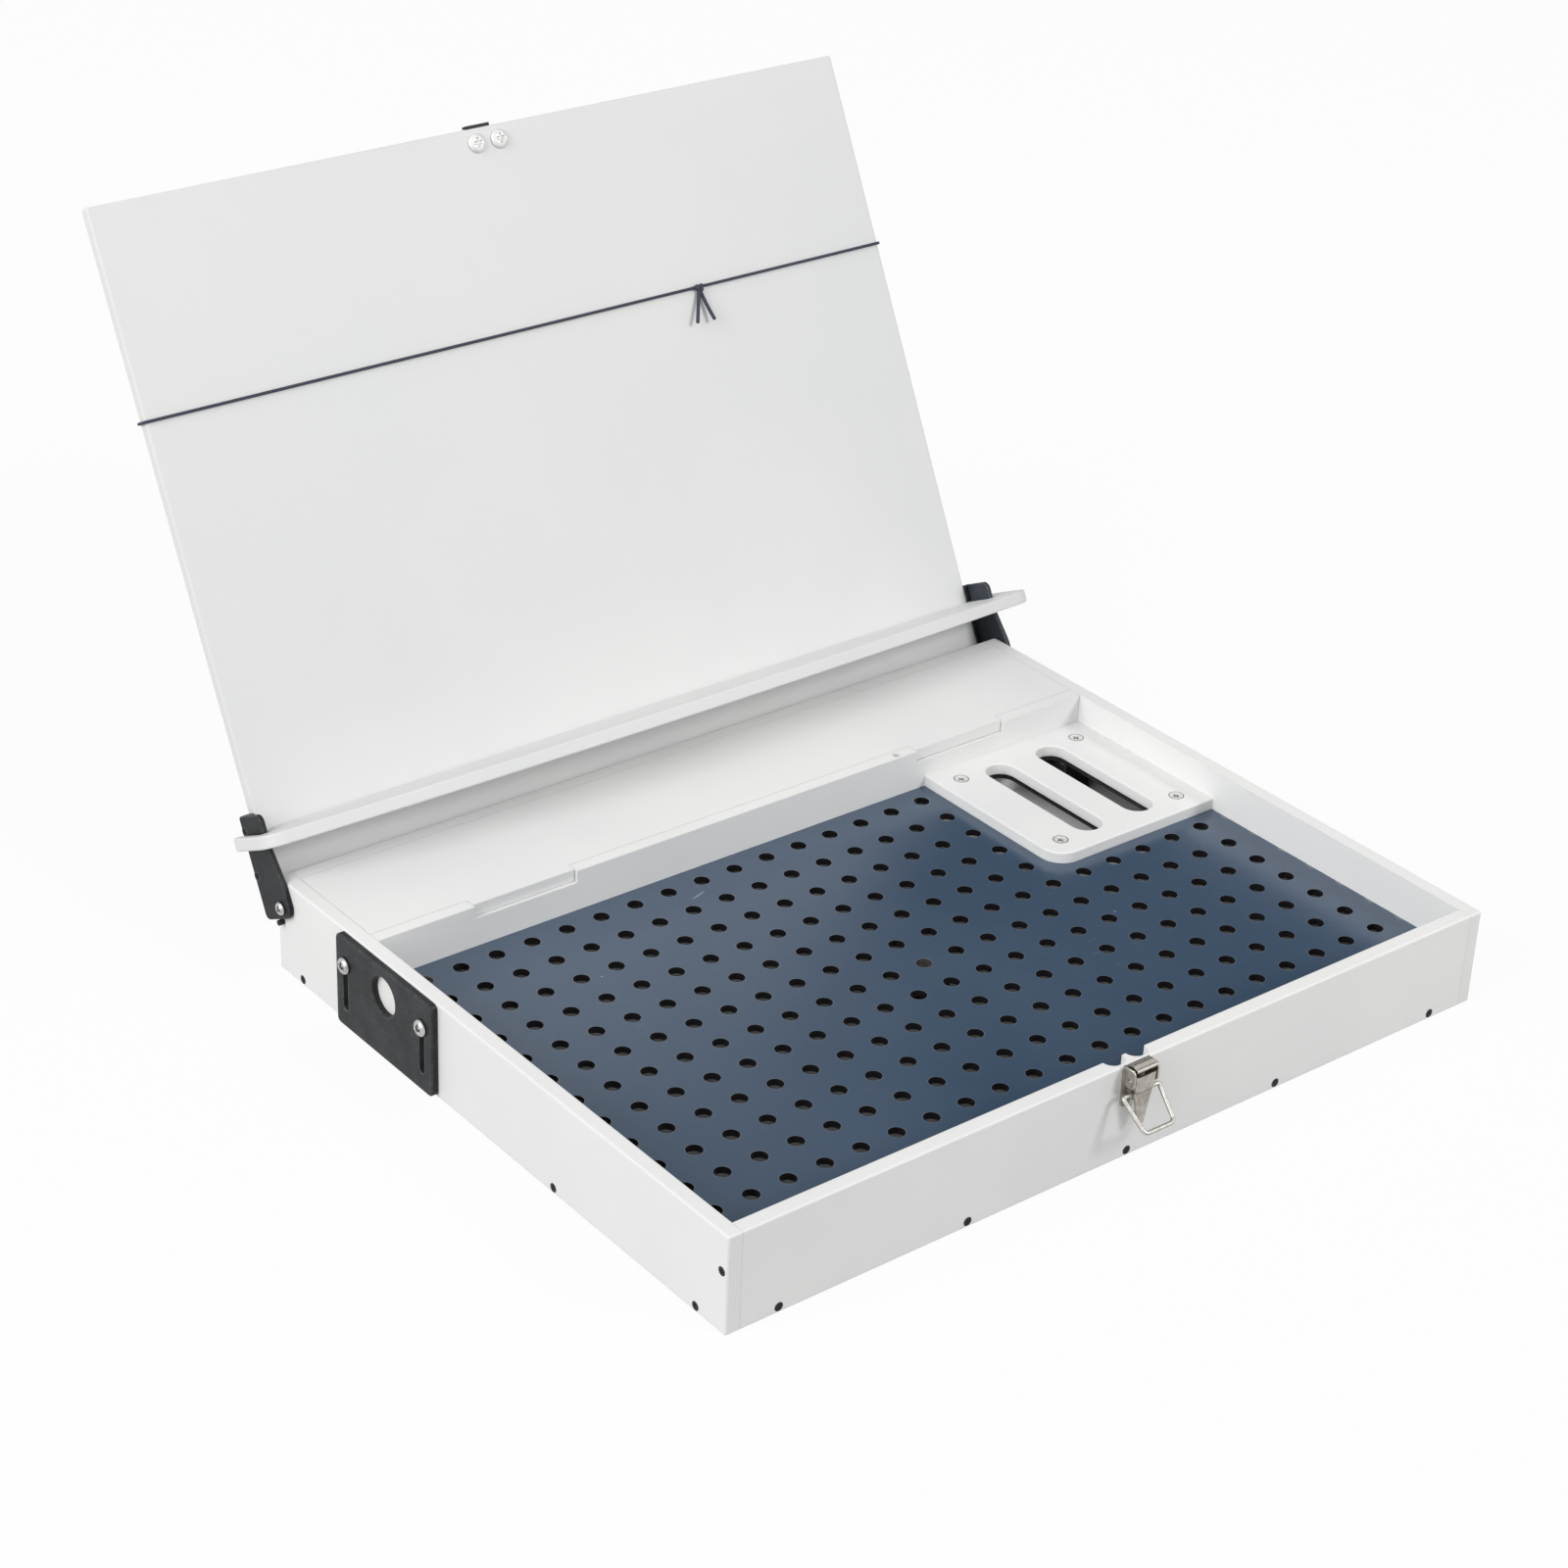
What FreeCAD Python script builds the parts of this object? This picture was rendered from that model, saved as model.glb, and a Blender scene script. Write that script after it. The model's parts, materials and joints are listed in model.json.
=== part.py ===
import FreeCAD, Part
import math
import os

V = FreeCAD.Vector

# Box: side walls run the full depth, front and back walls stand between them
box_width = 450.0
box_depth = 350.0
box_height = 50.0
wall = 7.5
bottom_thickness = 6.0
edge_round = 1.0

# Divider in front of the rear storage, with two notches for the cover's tabs
storage_depth = 61.7
divider_thickness = 7.0
notch_width = 58.5
notch_depth = 6.5
notch_offset = 135.0
pin_hole_diameter = 4.0
pin_hole_depth = 8.0
pin_hole_from_notch = 11.0

# Lift-off storage cover and the cleats it rests on
cover_thickness = 6.3
cover_gap = 0.15
tab_setback = 2.0
cleat_width = 8.0
cleat_height = 10.0

# Perforated work plate on its posts
recess_depth = 21.6
plate_thickness = 3.5
hole_diameter = 8.0
hole_pitch = 20.0
hole_land = 5.0
front_margin = 14.5

# Corner plate with two tool slots
corner_plate_width = 105.7
corner_plate_depth = 101.9
corner_plate_thickness = 6.0
corner_plate_radius = 12.0
corner_plate_edge = 0.8
slot_width = 17.0
slot_length = 79.8
slot_spacing = 34.6
well_margin = 4.0
corner_screw_inset = 13.2

# Countersunk screws and where they sit
wall_screw_head = 4.5
wall_screw_shank = 2.5
wall_screw_length = 20.0
plate_screw_head = 8.0
plate_screw_shank = 3.5
plate_screw_length = 16.0
cap_screw_head = 8.0
cap_screw_shank = 4.0
cap_screw_tip_gap = 0.6
arm_screw_head = 5.0
arm_screw_shank = 2.5
arm_screw_length = 16.0
screw_clearance = 0.05
front_screw_inset = 28.0
front_screw_offset = 93.5
side_screw_inset = 20.5
side_screw_offset = 52.0
front_corner_screw_drop = 19.0
rear_corner_screw_drop = 6.0

# Shares of a screw head: cross recess, its bars, the dome's rounding and the recess depth
cross_share = 0.58
bar_share = 0.13
dome_share = 0.6
recess_share = 0.45

# Sliding side stop on the left wall
stop_length = 80.0
stop_from_back = 57.0
stop_height = 48.5
stop_lift = 1.0
stop_thickness = 3.5
stop_gap = 0.2
stop_corner = 3.0
stop_chamfer = 0.6
finger_hole = 19.5
finger_mouth = 0.6
finger_hole_height = 34.5
stop_slot_width = 4.4
stop_slot_inset = 8.0
stop_travel = 22.0
stop_screw_height = 35.0
stop_screw_shank = 4.0
stop_screw_head = 8.5
stop_screw_head_height = 2.6
slot_end_gap = 0.5
insert_diameter = 6.0
insert_length = 6.8

# Lid, measured from its pivot: along the lid and square to it
pivot_below_rim = 13.0
pivot_from_back = 7.5
lid_open_angle = 117.1
lid_thickness = 6.0
lid_side_inset = 3.0
lid_front_inset = 4.5
lid_rear_reach = 9.0
lid_gap = 0.3

# Hinge arms
arm_thickness = 2.5
arm_gap = 0.3
arm_reach = 45.5
arm_foot = 5.5
arm_rear_inset = 0.8
arm_front = 2.5
arm_foot_front = 7.5
flare_top = 30.0
flare_foot = 12.0
arm_top_round = 4.0
arm_foot_round = 6.0
arm_heel_round = 3.0
arm_tip_round = 1.5
flare_top_round = 20.0
flare_foot_round = 15.0
arm_edge = 0.4
arm_screw_low = 16.0
arm_screw_high = 38.0
pivot_diameter = 4.0
pivot_clearance = 0.05
pivot_head = 6.8
pivot_head_height = 2.2
pivot_head_gap = 0.2
stop_pin_diameter = 2.8
stop_pin_shank = 2.0
stop_pin_depth = 6.0
stop_pin_back = 7.0
stop_pin_gap = 0.25

# Keeper at the lid's free edge
keeper_width = 23.0
keeper_length = 16.0
keeper_thickness = 1.2
lip_width = 14.0
lip_reach = 2.2
lip_height = 3.5
keeper_screw_spacing = 13.5
keeper_screw_inset = 7.5
keeper_screw_head = 10.0
keeper_screw_head_height = 2.5
keeper_screw_shank = 4.0
relief_gap = 0.6
relief_floor = 2.5

# Elastic cord round the lid
cord_diameter = 2.0
cord_clearance = 0.05
cord_below_edge = 102.5
knot_offset = 99.0
knot_radius = 2.0
tail_length = 17.0
left_tail_angle = -32.0
right_tail_angle = 9.0

# Loose plan ledge over the arms
ledge_height = 30.0
ledge_thickness = 6.5
ledge_depth = 45.0
ledge_bow = 15.0
ledge_left_overhang = 6.7
ledge_right_overhang = 15.7
ledge_gap = 0.3
ledge_slot_clearance = 1.5
ledge_slot_round = 0.5
ledge_tab_round = 1.0
ledge_heel_round = 3.0
ledge_end_round = 12.0
bow_share = 0.9
ledge_edge = 0.8

# Draw latch on the front wall, depths measured outwards from the wall
sheet = 1.0
latch_width = 15.0
latch_drop = 21.0
flange_width = 12.0
flange_rise = 2.6
flange_thickness = 1.2
flange_reach = 7.2
curl_radius = 0.9
latch_pin_diameter = 2.5
latch_pin_out = 5.0
latch_pin_down = 6.0
latch_pin_head = 0.8
ear_radius = 3.0
running_clearance = 0.05
lever_out = 7.4
lever_sheet = 0.8
lever_top = 1.6
lever_shoulder = 10.5
lever_tip = 28.5
lever_top_width = 11.6
lever_shoulder_width = 10.2
lever_tip_width = 2.7
lever_tip_round = 1.1
lever_shoulder_round = 2.0
lever_top_round = 1.0
cheek_round = 1.5
cheek_top_round = 2.9
cheek_foot = 4.0
bail_wire = 2.0
bail_pivot_down = 12.3
bail_leg = 18.6
bail_top_width = 19.4
bail_foot_width = 17.8
bail_bend = 2.2
bail_angle = 48.7
hook_end = 3.2
rivet_diameter = 3.0
rivet_head = 4.4
rivet_head_height = 0.9
rivet_dome = 0.6
rivet_length = 6.0
upper_rivet_drop = 10.5
lower_rivet_drop = 17.5

# Overshoot of a cut past a face, and how near two places count as the same
cut_margin = 1.0
same_place = 0.01

# Worked out from the sizes above, each screw as head, shank and length
wall_screw = (wall_screw_head, wall_screw_shank, wall_screw_length)
plate_screw = (plate_screw_head, plate_screw_shank, plate_screw_length)
cap_screw_length = corner_plate_thickness + plate_thickness - cap_screw_tip_gap
cap_screw = (cap_screw_head, cap_screw_shank, cap_screw_length)
arm_screw = (arm_screw_head, arm_screw_shank, arm_screw_length)
half_width = box_width / 2
half_depth = box_depth / 2
inner_x = half_width - wall
inner_y = half_depth - wall
divider_rear = inner_y - storage_depth
divider_front = divider_rear - divider_thickness
plate_top = box_height - recess_depth
plate_under = plate_top - plate_thickness
corner_left = inner_x - corner_plate_width
corner_front = divider_front - corner_plate_depth
corner_top = plate_top + corner_plate_thickness
slot_centre = (inner_x + corner_left) / 2
slot_middle = (divider_front + corner_front) / 2
pivot_y = half_depth - pivot_from_back
pivot_z = box_height - pivot_below_rim
lid_half = half_width - lid_side_inset
lid_inner = -(pivot_below_rim + lid_gap)
lid_outer = lid_inner - lid_thickness
lid_end = pivot_y + half_depth - lid_front_inset
arm_inner = half_width + arm_gap
arm_outer = arm_inner + arm_thickness
cord_along = lid_end - cord_below_edge
stop_rear = half_depth - stop_from_back
stop_front = stop_rear - stop_length
front_face = -half_depth
latch_pin_z = box_height - latch_pin_down
bail_pivot_z = box_height - bail_pivot_down


def block(x0, x1, y0, y1, z0, z1):
    return Part.makeBox(x1 - x0, y1 - y0, z1 - z0, V(x0, y0, z0))


def placed(shape, point, direction):
    # moves a shape made along +Z from the origin
    shape.Placement = FreeCAD.Placement(point, FreeCAD.Rotation(V(0, 0, 1), direction))
    return shape


def rod(diameter, point, direction, length):
    return Part.makeCylinder(diameter / 2, length, point, direction)


def outline(corners, place):
    # closed wire through corners given as (a, b, radius), each rounded by its own radius
    count = len(corners)
    spots = [V(a, b, 0) for a, b, radius in corners]
    arcs = []
    for i, (a, b, radius) in enumerate(corners):
        here = spots[i]
        if not radius:
            arcs.append((here, here, here, radius))
            continue
        back = (spots[i - 1] - here).normalize()
        ahead = (spots[(i + 1) % count] - here).normalize()
        half = back.getAngle(ahead) / 2
        reach = radius / math.tan(half)
        centre = here + (back + ahead).normalize() * (radius / math.sin(half))
        middle = centre + (here - centre).normalize() * radius
        arcs.append((here + back * reach, middle, here + ahead * reach, radius))
    edges = []
    for i, (start, middle, end, radius) in enumerate(arcs):
        if radius:
            bend = [place(spot.x, spot.y) for spot in (start, middle, end)]
            edges.append(Part.Arc(*bend).toShape())
        following = arcs[(i + 1) % count][0]
        if end.distanceToPoint(following) > same_place:
            run = [place(spot.x, spot.y) for spot in (end, following)]
            edges.append(Part.LineSegment(*run).toShape())
    return Part.Wire(edges)


def slab(corners, place, thickness):
    # flat piece: an outline drawn out along a vector
    return Part.Face(outline(corners, place)).extrude(thickness)


def slot_corners(middle, low, high, half):
    # slot with half-round ends
    return [(middle - half, low, half), (middle + half, low, half),
            (middle + half, high, half), (middle - half, high, half)]


def rounded(shape, radius, chosen):
    return shape.makeFillet(radius, [edge for edge in shape.Edges if chosen(edge.CenterOfMass)])


def cross_recess(head_diameter, depth):
    # crossed slots in the head's top face, cut inwards along +Z
    arm = head_diameter * cross_share / 2
    half = head_diameter * bar_share / 2
    bar = block(-arm, arm, -half, half, -same_place, depth)
    return bar.fuse(block(-half, half, -arm, arm, -same_place, depth))


def countersunk(size, point, inward, spare=0.0):
    # flat head with a right-angle cone, top face at the point
    head, shank, length = size
    cone = Part.makeCone(head / 2 + spare, shank / 2 + spare, (head - shank) / 2)
    stem = Part.makeCylinder(shank / 2 + spare, length + spare)
    return placed(cone.fuse(stem).removeSplitter(), point, inward)


def countersunk_screw(size, point, inward):
    head, shank, length = size
    recess = placed(cross_recess(head, (head - shank) / 3), point, inward)
    return countersunk(size, point, inward).cut(recess)


def pan_screw(head, head_height, shank, shank_length, point, inward):
    # domed head standing on the face at the point, shank going inwards
    dome = Part.makeCylinder(head / 2, head_height, V(0, 0, -head_height))
    dome = rounded(dome, head_height * dome_share, lambda c: near(c.z, -head_height))
    recess = cross_recess(head, head_height * recess_share)
    recess.translate(V(0, 0, -head_height))
    return placed(dome.fuse(Part.makeCylinder(shank / 2, shank_length)).cut(recess), point, inward)


def near(value, target):
    return abs(value - target) < same_place


def bottom_screw_points():
    # where the wall screws enter, grouped by wall, with their driving direction
    height = bottom_thickness / 2
    far_x = half_width - front_screw_inset
    far_y = half_depth - side_screw_inset
    along_x = (-far_x, -front_screw_offset, 0.0, front_screw_offset, far_x)
    along_y = (-far_y, -side_screw_offset, side_screw_offset, far_y)
    return {
        "front": [(V(x, -half_depth, height), V(0, 1, 0)) for x in along_x],
        "back": [(V(x, half_depth, height), V(0, -1, 0)) for x in along_x],
        "left": [(V(-half_width, y, height), V(1, 0, 0)) for y in along_y],
        "right": [(V(half_width, y, height), V(-1, 0, 0)) for y in along_y],
    }


def corner_screw_points():
    # through the side walls into the ends of the front and back walls
    points = []
    middle = half_depth - wall / 2
    for side in (-1, 1):
        for end, drop in ((-1, front_corner_screw_drop), (1, rear_corner_screw_drop)):
            points.append((V(side * half_width, end * middle, box_height - drop), V(-side, 0, 0)))
    return points


def screw_rooms(points, size):
    return [countersunk(size, point, inward, screw_clearance) for point, inward in points]


def screw_group(points, size):
    return Part.makeCompound([countersunk_screw(size, point, inward) for point, inward in points])


def all_wall_rooms():
    rooms = screw_rooms(corner_screw_points(), wall_screw)
    for points in bottom_screw_points().values():
        rooms += screw_rooms(points, wall_screw)
    return rooms


def bottom_panel():
    panel = block(-inner_x, inner_x, -inner_y, inner_y, 0, bottom_thickness)
    return panel.cut(all_wall_rooms())


def keeper_reliefs():
    # half-round pockets in the front rim's inner edge, clear of the keeper's screw heads
    diameter = keeper_screw_head + 2 * relief_gap
    depth = keeper_screw_head_height + relief_floor
    spots = [V(side * keeper_screw_spacing / 2, -inner_y, box_height - depth) for side in (-1, 1)]
    return [rod(diameter, spot, V(0, 0, 1), depth + cut_margin) for spot in spots]


def cross_wall(y0, y1, outer):
    # front or back wall, rounded along its outer edges
    panel = block(-inner_x, inner_x, y0, y1, 0, box_height)
    return rounded(panel, edge_round, lambda c: near(c.y, outer) and near(c.x, 0))


def front_wall():
    panel = cross_wall(-half_depth, -inner_y, -half_depth)
    return panel.cut(all_wall_rooms() + keeper_reliefs() + rivet_rooms())


def back_wall():
    return cross_wall(inner_y, half_depth, half_depth).cut(all_wall_rooms())


def side_wall(side):
    outer = side * half_width
    inner = side * inner_x
    panel = block(min(outer, inner), max(outer, inner), -half_depth, half_depth, 0, box_height)

    def shows(c):
        return near(c.x, outer) or (near(abs(c.y), half_depth) and not near(c.x, inner))

    panel = rounded(panel, edge_round, shows)
    rooms = all_wall_rooms() + [insert_room(side, pivot_y, pivot_z), stop_pin_room(side)]
    if side < 0:
        rooms += [insert_room(side, y, stop_screw_height) for y in stop_screw_places()]
    return panel.cut(rooms)


def notch_span(side, room):
    middle = side * notch_offset
    return middle - notch_width / 2 + room, middle + notch_width / 2 - room


def divider():
    board = block(-inner_x, inner_x, divider_front, divider_rear, bottom_thickness, box_height)
    for side in (-1, 1):
        left, right = notch_span(side, 0.0)
        notch = block(left, right, divider_front - cut_margin, divider_rear + cut_margin,
                      box_height - notch_depth, box_height + cut_margin)
        board = board.cut(notch)
    hole_x = notch_span(1, 0.0)[0] - pin_hole_from_notch
    middle = (divider_front + divider_rear) / 2
    return board.cut(rod(pin_hole_diameter, V(hole_x, middle, box_height), V(0, 0, -1), pin_hole_depth))


def storage_cover():
    # flush with the rim, with two tabs that reach forward into the notches
    under = box_height - cover_thickness
    side = inner_x - cover_gap
    rear = inner_y - cover_gap
    cover = block(-side, side, divider_rear + cover_gap, rear, under, box_height)
    for hand in (-1, 1):
        left, right = notch_span(hand, cover_gap)
        cover = cover.fuse(block(left, right, divider_front + tab_setback, rear, under, box_height))
    return cover.removeSplitter()


def cover_cleats():
    # strips under the cover's ends and rear edge
    top = box_height - cover_thickness
    low = top - cleat_height
    rear = block(-inner_x, inner_x, inner_y - cleat_width, inner_y, low, top)
    ends = [block(-inner_x, -inner_x + cleat_width, divider_rear, inner_y - cleat_width, low, top)]
    ends.append(block(inner_x - cleat_width, inner_x, divider_rear, inner_y - cleat_width, low, top))
    return Part.makeCompound([rear] + ends)


def grid_columns():
    side = int((inner_x - hole_diameter / 2 - hole_land) / hole_pitch)
    return [i * hole_pitch for i in range(-side, side + 1)]


def grid_rows():
    first = -inner_y + front_margin
    count = int((divider_front - first - hole_diameter / 2 - hole_land) / hole_pitch) + 1
    return [first + i * hole_pitch for i in range(count)]


def post_spots():
    # four corner holes of the grid and its middle hole
    columns, rows = grid_columns(), grid_rows()
    spots = [(x, y) for x in (columns[0], columns[-1]) for y in (rows[0], rows[-1])]
    return spots + [(columns[len(columns) // 2], rows[len(rows) // 2])]


def under_corner_plate(x, y):
    return x > corner_left and y > corner_front


def plate_screw_points():
    spots = [spot for spot in post_spots() if not under_corner_plate(*spot)]
    return [(V(x, y, plate_top), V(0, 0, -1)) for x, y in spots]


def slot_well():
    # room in the work plate round both tool slots
    half_span = slot_spacing / 2 + slot_width / 2 + well_margin
    half_length = slot_length / 2 + well_margin
    return block(slot_centre - half_span, slot_centre + half_span, slot_middle - half_length,
                 slot_middle + half_length, plate_under, plate_top)


def work_plate():
    # drilled board, open below the tool slots
    plate = block(-inner_x, inner_x, -inner_y, divider_front, plate_under, plate_top)
    taken = post_spots()
    holes = []
    for x in grid_columns():
        for y in grid_rows():
            if (x, y) not in taken and not under_corner_plate(x, y):
                holes.append(rod(hole_diameter, V(x, y, plate_under), V(0, 0, 1), plate_thickness))
    rooms = screw_rooms(plate_screw_points(), plate_screw) + screw_rooms(cap_screw_points(), cap_screw)
    return plate.cut(holes + [slot_well()] + rooms)


def work_plate_posts():
    half = hole_diameter / 2 + hole_land
    rooms = screw_rooms(plate_screw_points(), plate_screw)
    posts = []
    for x, y in post_spots():
        post = block(x - half, x + half, y - half, y + half, bottom_thickness, plate_under)
        posts.append(post.cut(rooms))
    return Part.makeCompound(posts)


def cap_screw_points():
    spots = [(x, y) for x in (corner_left + corner_screw_inset, inner_x - corner_screw_inset)
             for y in (corner_front + corner_screw_inset, divider_front - corner_screw_inset)]
    return [(V(x, y, corner_top), V(0, 0, -1)) for x, y in spots]


def corner_plate():
    corners = [(corner_left, corner_front, corner_plate_radius), (inner_x, corner_front, 0),
               (inner_x, divider_front, 0), (corner_left, divider_front, 0)]
    plate = slab(corners, lambda a, b: V(a, b, plate_top), V(0, 0, corner_plate_thickness))
    cuts = []
    half = slot_width / 2
    end = slot_length / 2
    for x in (slot_centre - slot_spacing / 2, slot_centre + slot_spacing / 2):
        slot = slot_corners(x, slot_middle - end, slot_middle + end, half)
        cuts.append(slab(slot, lambda a, b: V(a, b, plate_top), V(0, 0, corner_plate_thickness)))
    plate = plate.cut(cuts)

    def shows(c):
        return near(c.z, corner_top) and not near(c.x, inner_x) and not near(c.y, divider_front)

    plate = rounded(plate, corner_plate_edge, shows)
    return plate.cut(screw_rooms(cap_screw_points(), cap_screw))


def stop_screw_places():
    return stop_front + stop_slot_inset, stop_rear - stop_slot_inset


def insert_room(side, y, z):
    point = V(side * half_width, y, z)
    return rod(insert_diameter + 2 * screw_clearance, point, V(-side, 0, 0), insert_length + screw_clearance)


def insert(side, y, z, bore):
    # threaded bush let into the wall from outside
    point = V(side * half_width, y, z)
    inward = V(-side, 0, 0)
    return rod(insert_diameter, point, inward, insert_length).cut(rod(bore, point, inward, insert_length))


def side_stop_plate():
    face = -half_width - stop_gap
    top = stop_lift + stop_height
    corners = [(stop_front, stop_lift, stop_corner), (stop_rear, stop_lift, stop_corner),
               (stop_rear, top, stop_corner), (stop_front, top, stop_corner)]
    plate = slab(corners, lambda a, b: V(face, a, b), V(-stop_thickness, 0, 0))
    outside = face - stop_thickness
    rim = [edge for edge in plate.Edges if near(edge.CenterOfMass.x, outside)]
    plate = plate.makeChamfer(stop_chamfer, rim)
    middle = V(outside, (stop_front + stop_rear) / 2, finger_hole_height)
    mouth = Part.makeCone(finger_hole / 2 + finger_mouth, finger_hole / 2, finger_mouth, middle, V(1, 0, 0))
    cuts = [rod(finger_hole, middle, V(1, 0, 0), stop_thickness), mouth]
    half = stop_slot_width / 2
    shank = stop_screw_shank / 2
    low = stop_screw_height - stop_travel - shank - slot_end_gap
    high = stop_screw_height + shank + slot_end_gap
    for y in stop_screw_places():
        slot = slot_corners(y, low, high, half)
        cuts.append(slab(slot, lambda a, b: V(face, a, b), V(-stop_thickness, 0, 0)))
    return plate.cut(cuts)


def side_stop_screws():
    under_head = -half_width - 2 * stop_gap - stop_thickness
    shank_length = 2 * stop_gap + stop_thickness + insert_length
    return Part.makeCompound([
        pan_screw(stop_screw_head, stop_screw_head_height, stop_screw_shank, shank_length,
                  V(under_head, y, stop_screw_height), V(1, 0, 0)) for y in stop_screw_places()])


def side_stop_inserts():
    bore = stop_screw_shank + 2 * screw_clearance
    return Part.makeCompound([insert(-1, y, stop_screw_height, bore) for y in stop_screw_places()])


def pivot_screws():
    under_head = arm_outer + pivot_head_gap
    shank_length = under_head - half_width + insert_length
    return Part.makeCompound([
        pan_screw(pivot_head, pivot_head_height, pivot_diameter, shank_length,
                  V(side * under_head, pivot_y, pivot_z), V(-side, 0, 0)) for side in (-1, 1)])


def pivot_inserts():
    bore = pivot_diameter + 2 * screw_clearance
    return Part.makeCompound([insert(side, pivot_y, pivot_z, bore) for side in (-1, 1)])


def lid_spot(x, along, out):
    # a point of the closed lid: distance from the pivot along the lid, and out towards the box
    return V(x, pivot_y - along, pivot_z - out)


def opened(shape):
    # swings a piece of the closed lid back to its open rest
    shape.rotate(V(0, pivot_y, pivot_z), V(1, 0, 0), -lid_open_angle)
    return shape


def lid_block(x0, x1, along0, along1, out0, out1):
    return block(x0, x1, pivot_y - along1, pivot_y - along0, pivot_z - out1, pivot_z - out0)


def stop_pin_centre(side):
    below = arm_foot + stop_pin_gap + stop_pin_diameter / 2
    return opened(Part.Vertex(lid_spot(side * half_width, -below, -stop_pin_back))).Point


def stop_pin_room(side):
    return rod(stop_pin_shank + 2 * screw_clearance, stop_pin_centre(side), V(-side, 0, 0),
               stop_pin_depth + screw_clearance)


def stop_pins():
    pins = []
    for side in (-1, 1):
        centre = stop_pin_centre(side)
        head = rod(stop_pin_diameter, centre, V(side, 0, 0), arm_outer + arm_gap - half_width)
        pins.append(head.fuse(rod(stop_pin_shank, centre, V(-side, 0, 0), stop_pin_depth)))
    return Part.makeCompound(pins)


def arm_screw_points(side):
    middle = (lid_inner + lid_outer) / 2
    spots = [lid_spot(side * arm_outer, along, middle) for along in (arm_screw_low, arm_screw_high)]
    return [(spot, V(-side, 0, 0)) for spot in spots]


def keeper_screw_points():
    along = lid_end - keeper_screw_inset
    return [lid_spot(side * keeper_screw_spacing / 2, along, lid_inner) for side in (-1, 1)]


def keeper_screw_rooms(length):
    diameter = keeper_screw_shank + 2 * screw_clearance
    return [rod(diameter, point, V(0, 0, 1), length) for point in keeper_screw_points()]


def lid_panel():
    panel = lid_block(-lid_half, lid_half, lid_rear_reach, lid_end, lid_outer, lid_inner)
    panel = panel.makeFillet(edge_round, panel.Edges)
    rooms = screw_rooms(arm_screw_points(-1) + arm_screw_points(1), arm_screw)
    return opened(panel.cut(rooms + keeper_screw_rooms(lid_thickness)))


def packer(side):
    # strip that fills the gap between the lid's edge and the arm
    edges = sorted((side * lid_half, side * arm_inner))
    strip = lid_block(edges[0], edges[1], lid_rear_reach, arm_reach, lid_outer + arm_rear_inset, lid_inner)
    return opened(strip.cut(screw_rooms(arm_screw_points(side), arm_screw)))


def hinge_arm(side):
    rear = lid_outer + arm_rear_inset
    corners = [(-arm_foot, rear, arm_heel_round), (arm_reach, rear, arm_tip_round),
               (arm_reach, arm_front, arm_top_round), (flare_top, arm_front, flare_top_round),
               (flare_foot, arm_foot_front - arm_gap, flare_foot_round),
               (-arm_foot, arm_foot_front, arm_foot_round)]
    arm = slab(corners, lambda a, b: lid_spot(side * arm_inner, a, b), V(side * arm_thickness, 0, 0))
    outside = side * arm_outer
    arm = arm.makeChamfer(arm_edge, [edge for edge in arm.Edges if near(edge.CenterOfMass.x, outside)])
    bore = pivot_diameter + 2 * pivot_clearance
    pivot = rod(bore, lid_spot(side * arm_inner, 0, 0), V(side, 0, 0), arm_thickness)
    return opened(arm.cut([pivot] + screw_rooms(arm_screw_points(side), arm_screw)))


def arm_screws():
    return opened(screw_group(arm_screw_points(-1) + arm_screw_points(1), arm_screw))


def keeper():
    # plate on the lid's outer face with a lip turned out past the free edge
    face = lid_outer - keeper_thickness
    tip = lid_end + lip_reach
    half = keeper_width / 2
    half_lip = lip_width / 2
    plate = lid_block(-half, half, lid_end - keeper_length, lid_end, face, lid_outer)
    lip = lid_block(-half_lip, half_lip, lid_end - edge_round, tip, face, lid_outer)
    hook = lid_block(-half_lip, half_lip, tip - keeper_thickness, tip, lid_outer - lip_height, lid_outer)
    plate = plate.fuse([lip, hook]).removeSplitter()
    return opened(plate.cut(keeper_screw_rooms(lid_thickness + keeper_thickness)))


def keeper_screws():
    length = lid_thickness + keeper_thickness
    return opened(Part.makeCompound([
        pan_screw(keeper_screw_head, keeper_screw_head_height, keeper_screw_shank, length, point, V(0, 0, 1))
        for point in keeper_screw_points()]))


def swept(path, diameter, start, direction):
    ring = Part.Wire(Part.makeCircle(diameter / 2, start, direction))
    return path.makePipeShell([ring], True, False)


def elastic_cord():
    # loop round the lid, then the knot and its two tails on the inner face
    off = cord_diameter / 2 + cord_clearance
    bend = edge_round + off
    side = lid_half + off
    near_face, far_face = lid_inner + off, lid_outer - off
    corners = [(-side, near_face, bend), (side, near_face, bend),
               (side, far_face, bend), (-side, far_face, bend)]
    path = outline(corners, lambda a, b: lid_spot(a, cord_along, b))
    loop = swept(path, cord_diameter, lid_spot(0, cord_along, near_face), V(1, 0, 0))
    knot_spot = lid_spot(knot_offset, cord_along, lid_inner + knot_radius + cord_clearance)
    cord = loop.fuse(Part.makeSphere(knot_radius, knot_spot))
    for angle in (left_tail_angle, right_tail_angle):
        turn = math.radians(angle)
        start = lid_spot(knot_offset, cord_along, near_face)
        cord = cord.fuse(rod(cord_diameter, start, V(math.sin(turn), math.cos(turn), 0), tail_length))
    return opened(cord)


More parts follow.
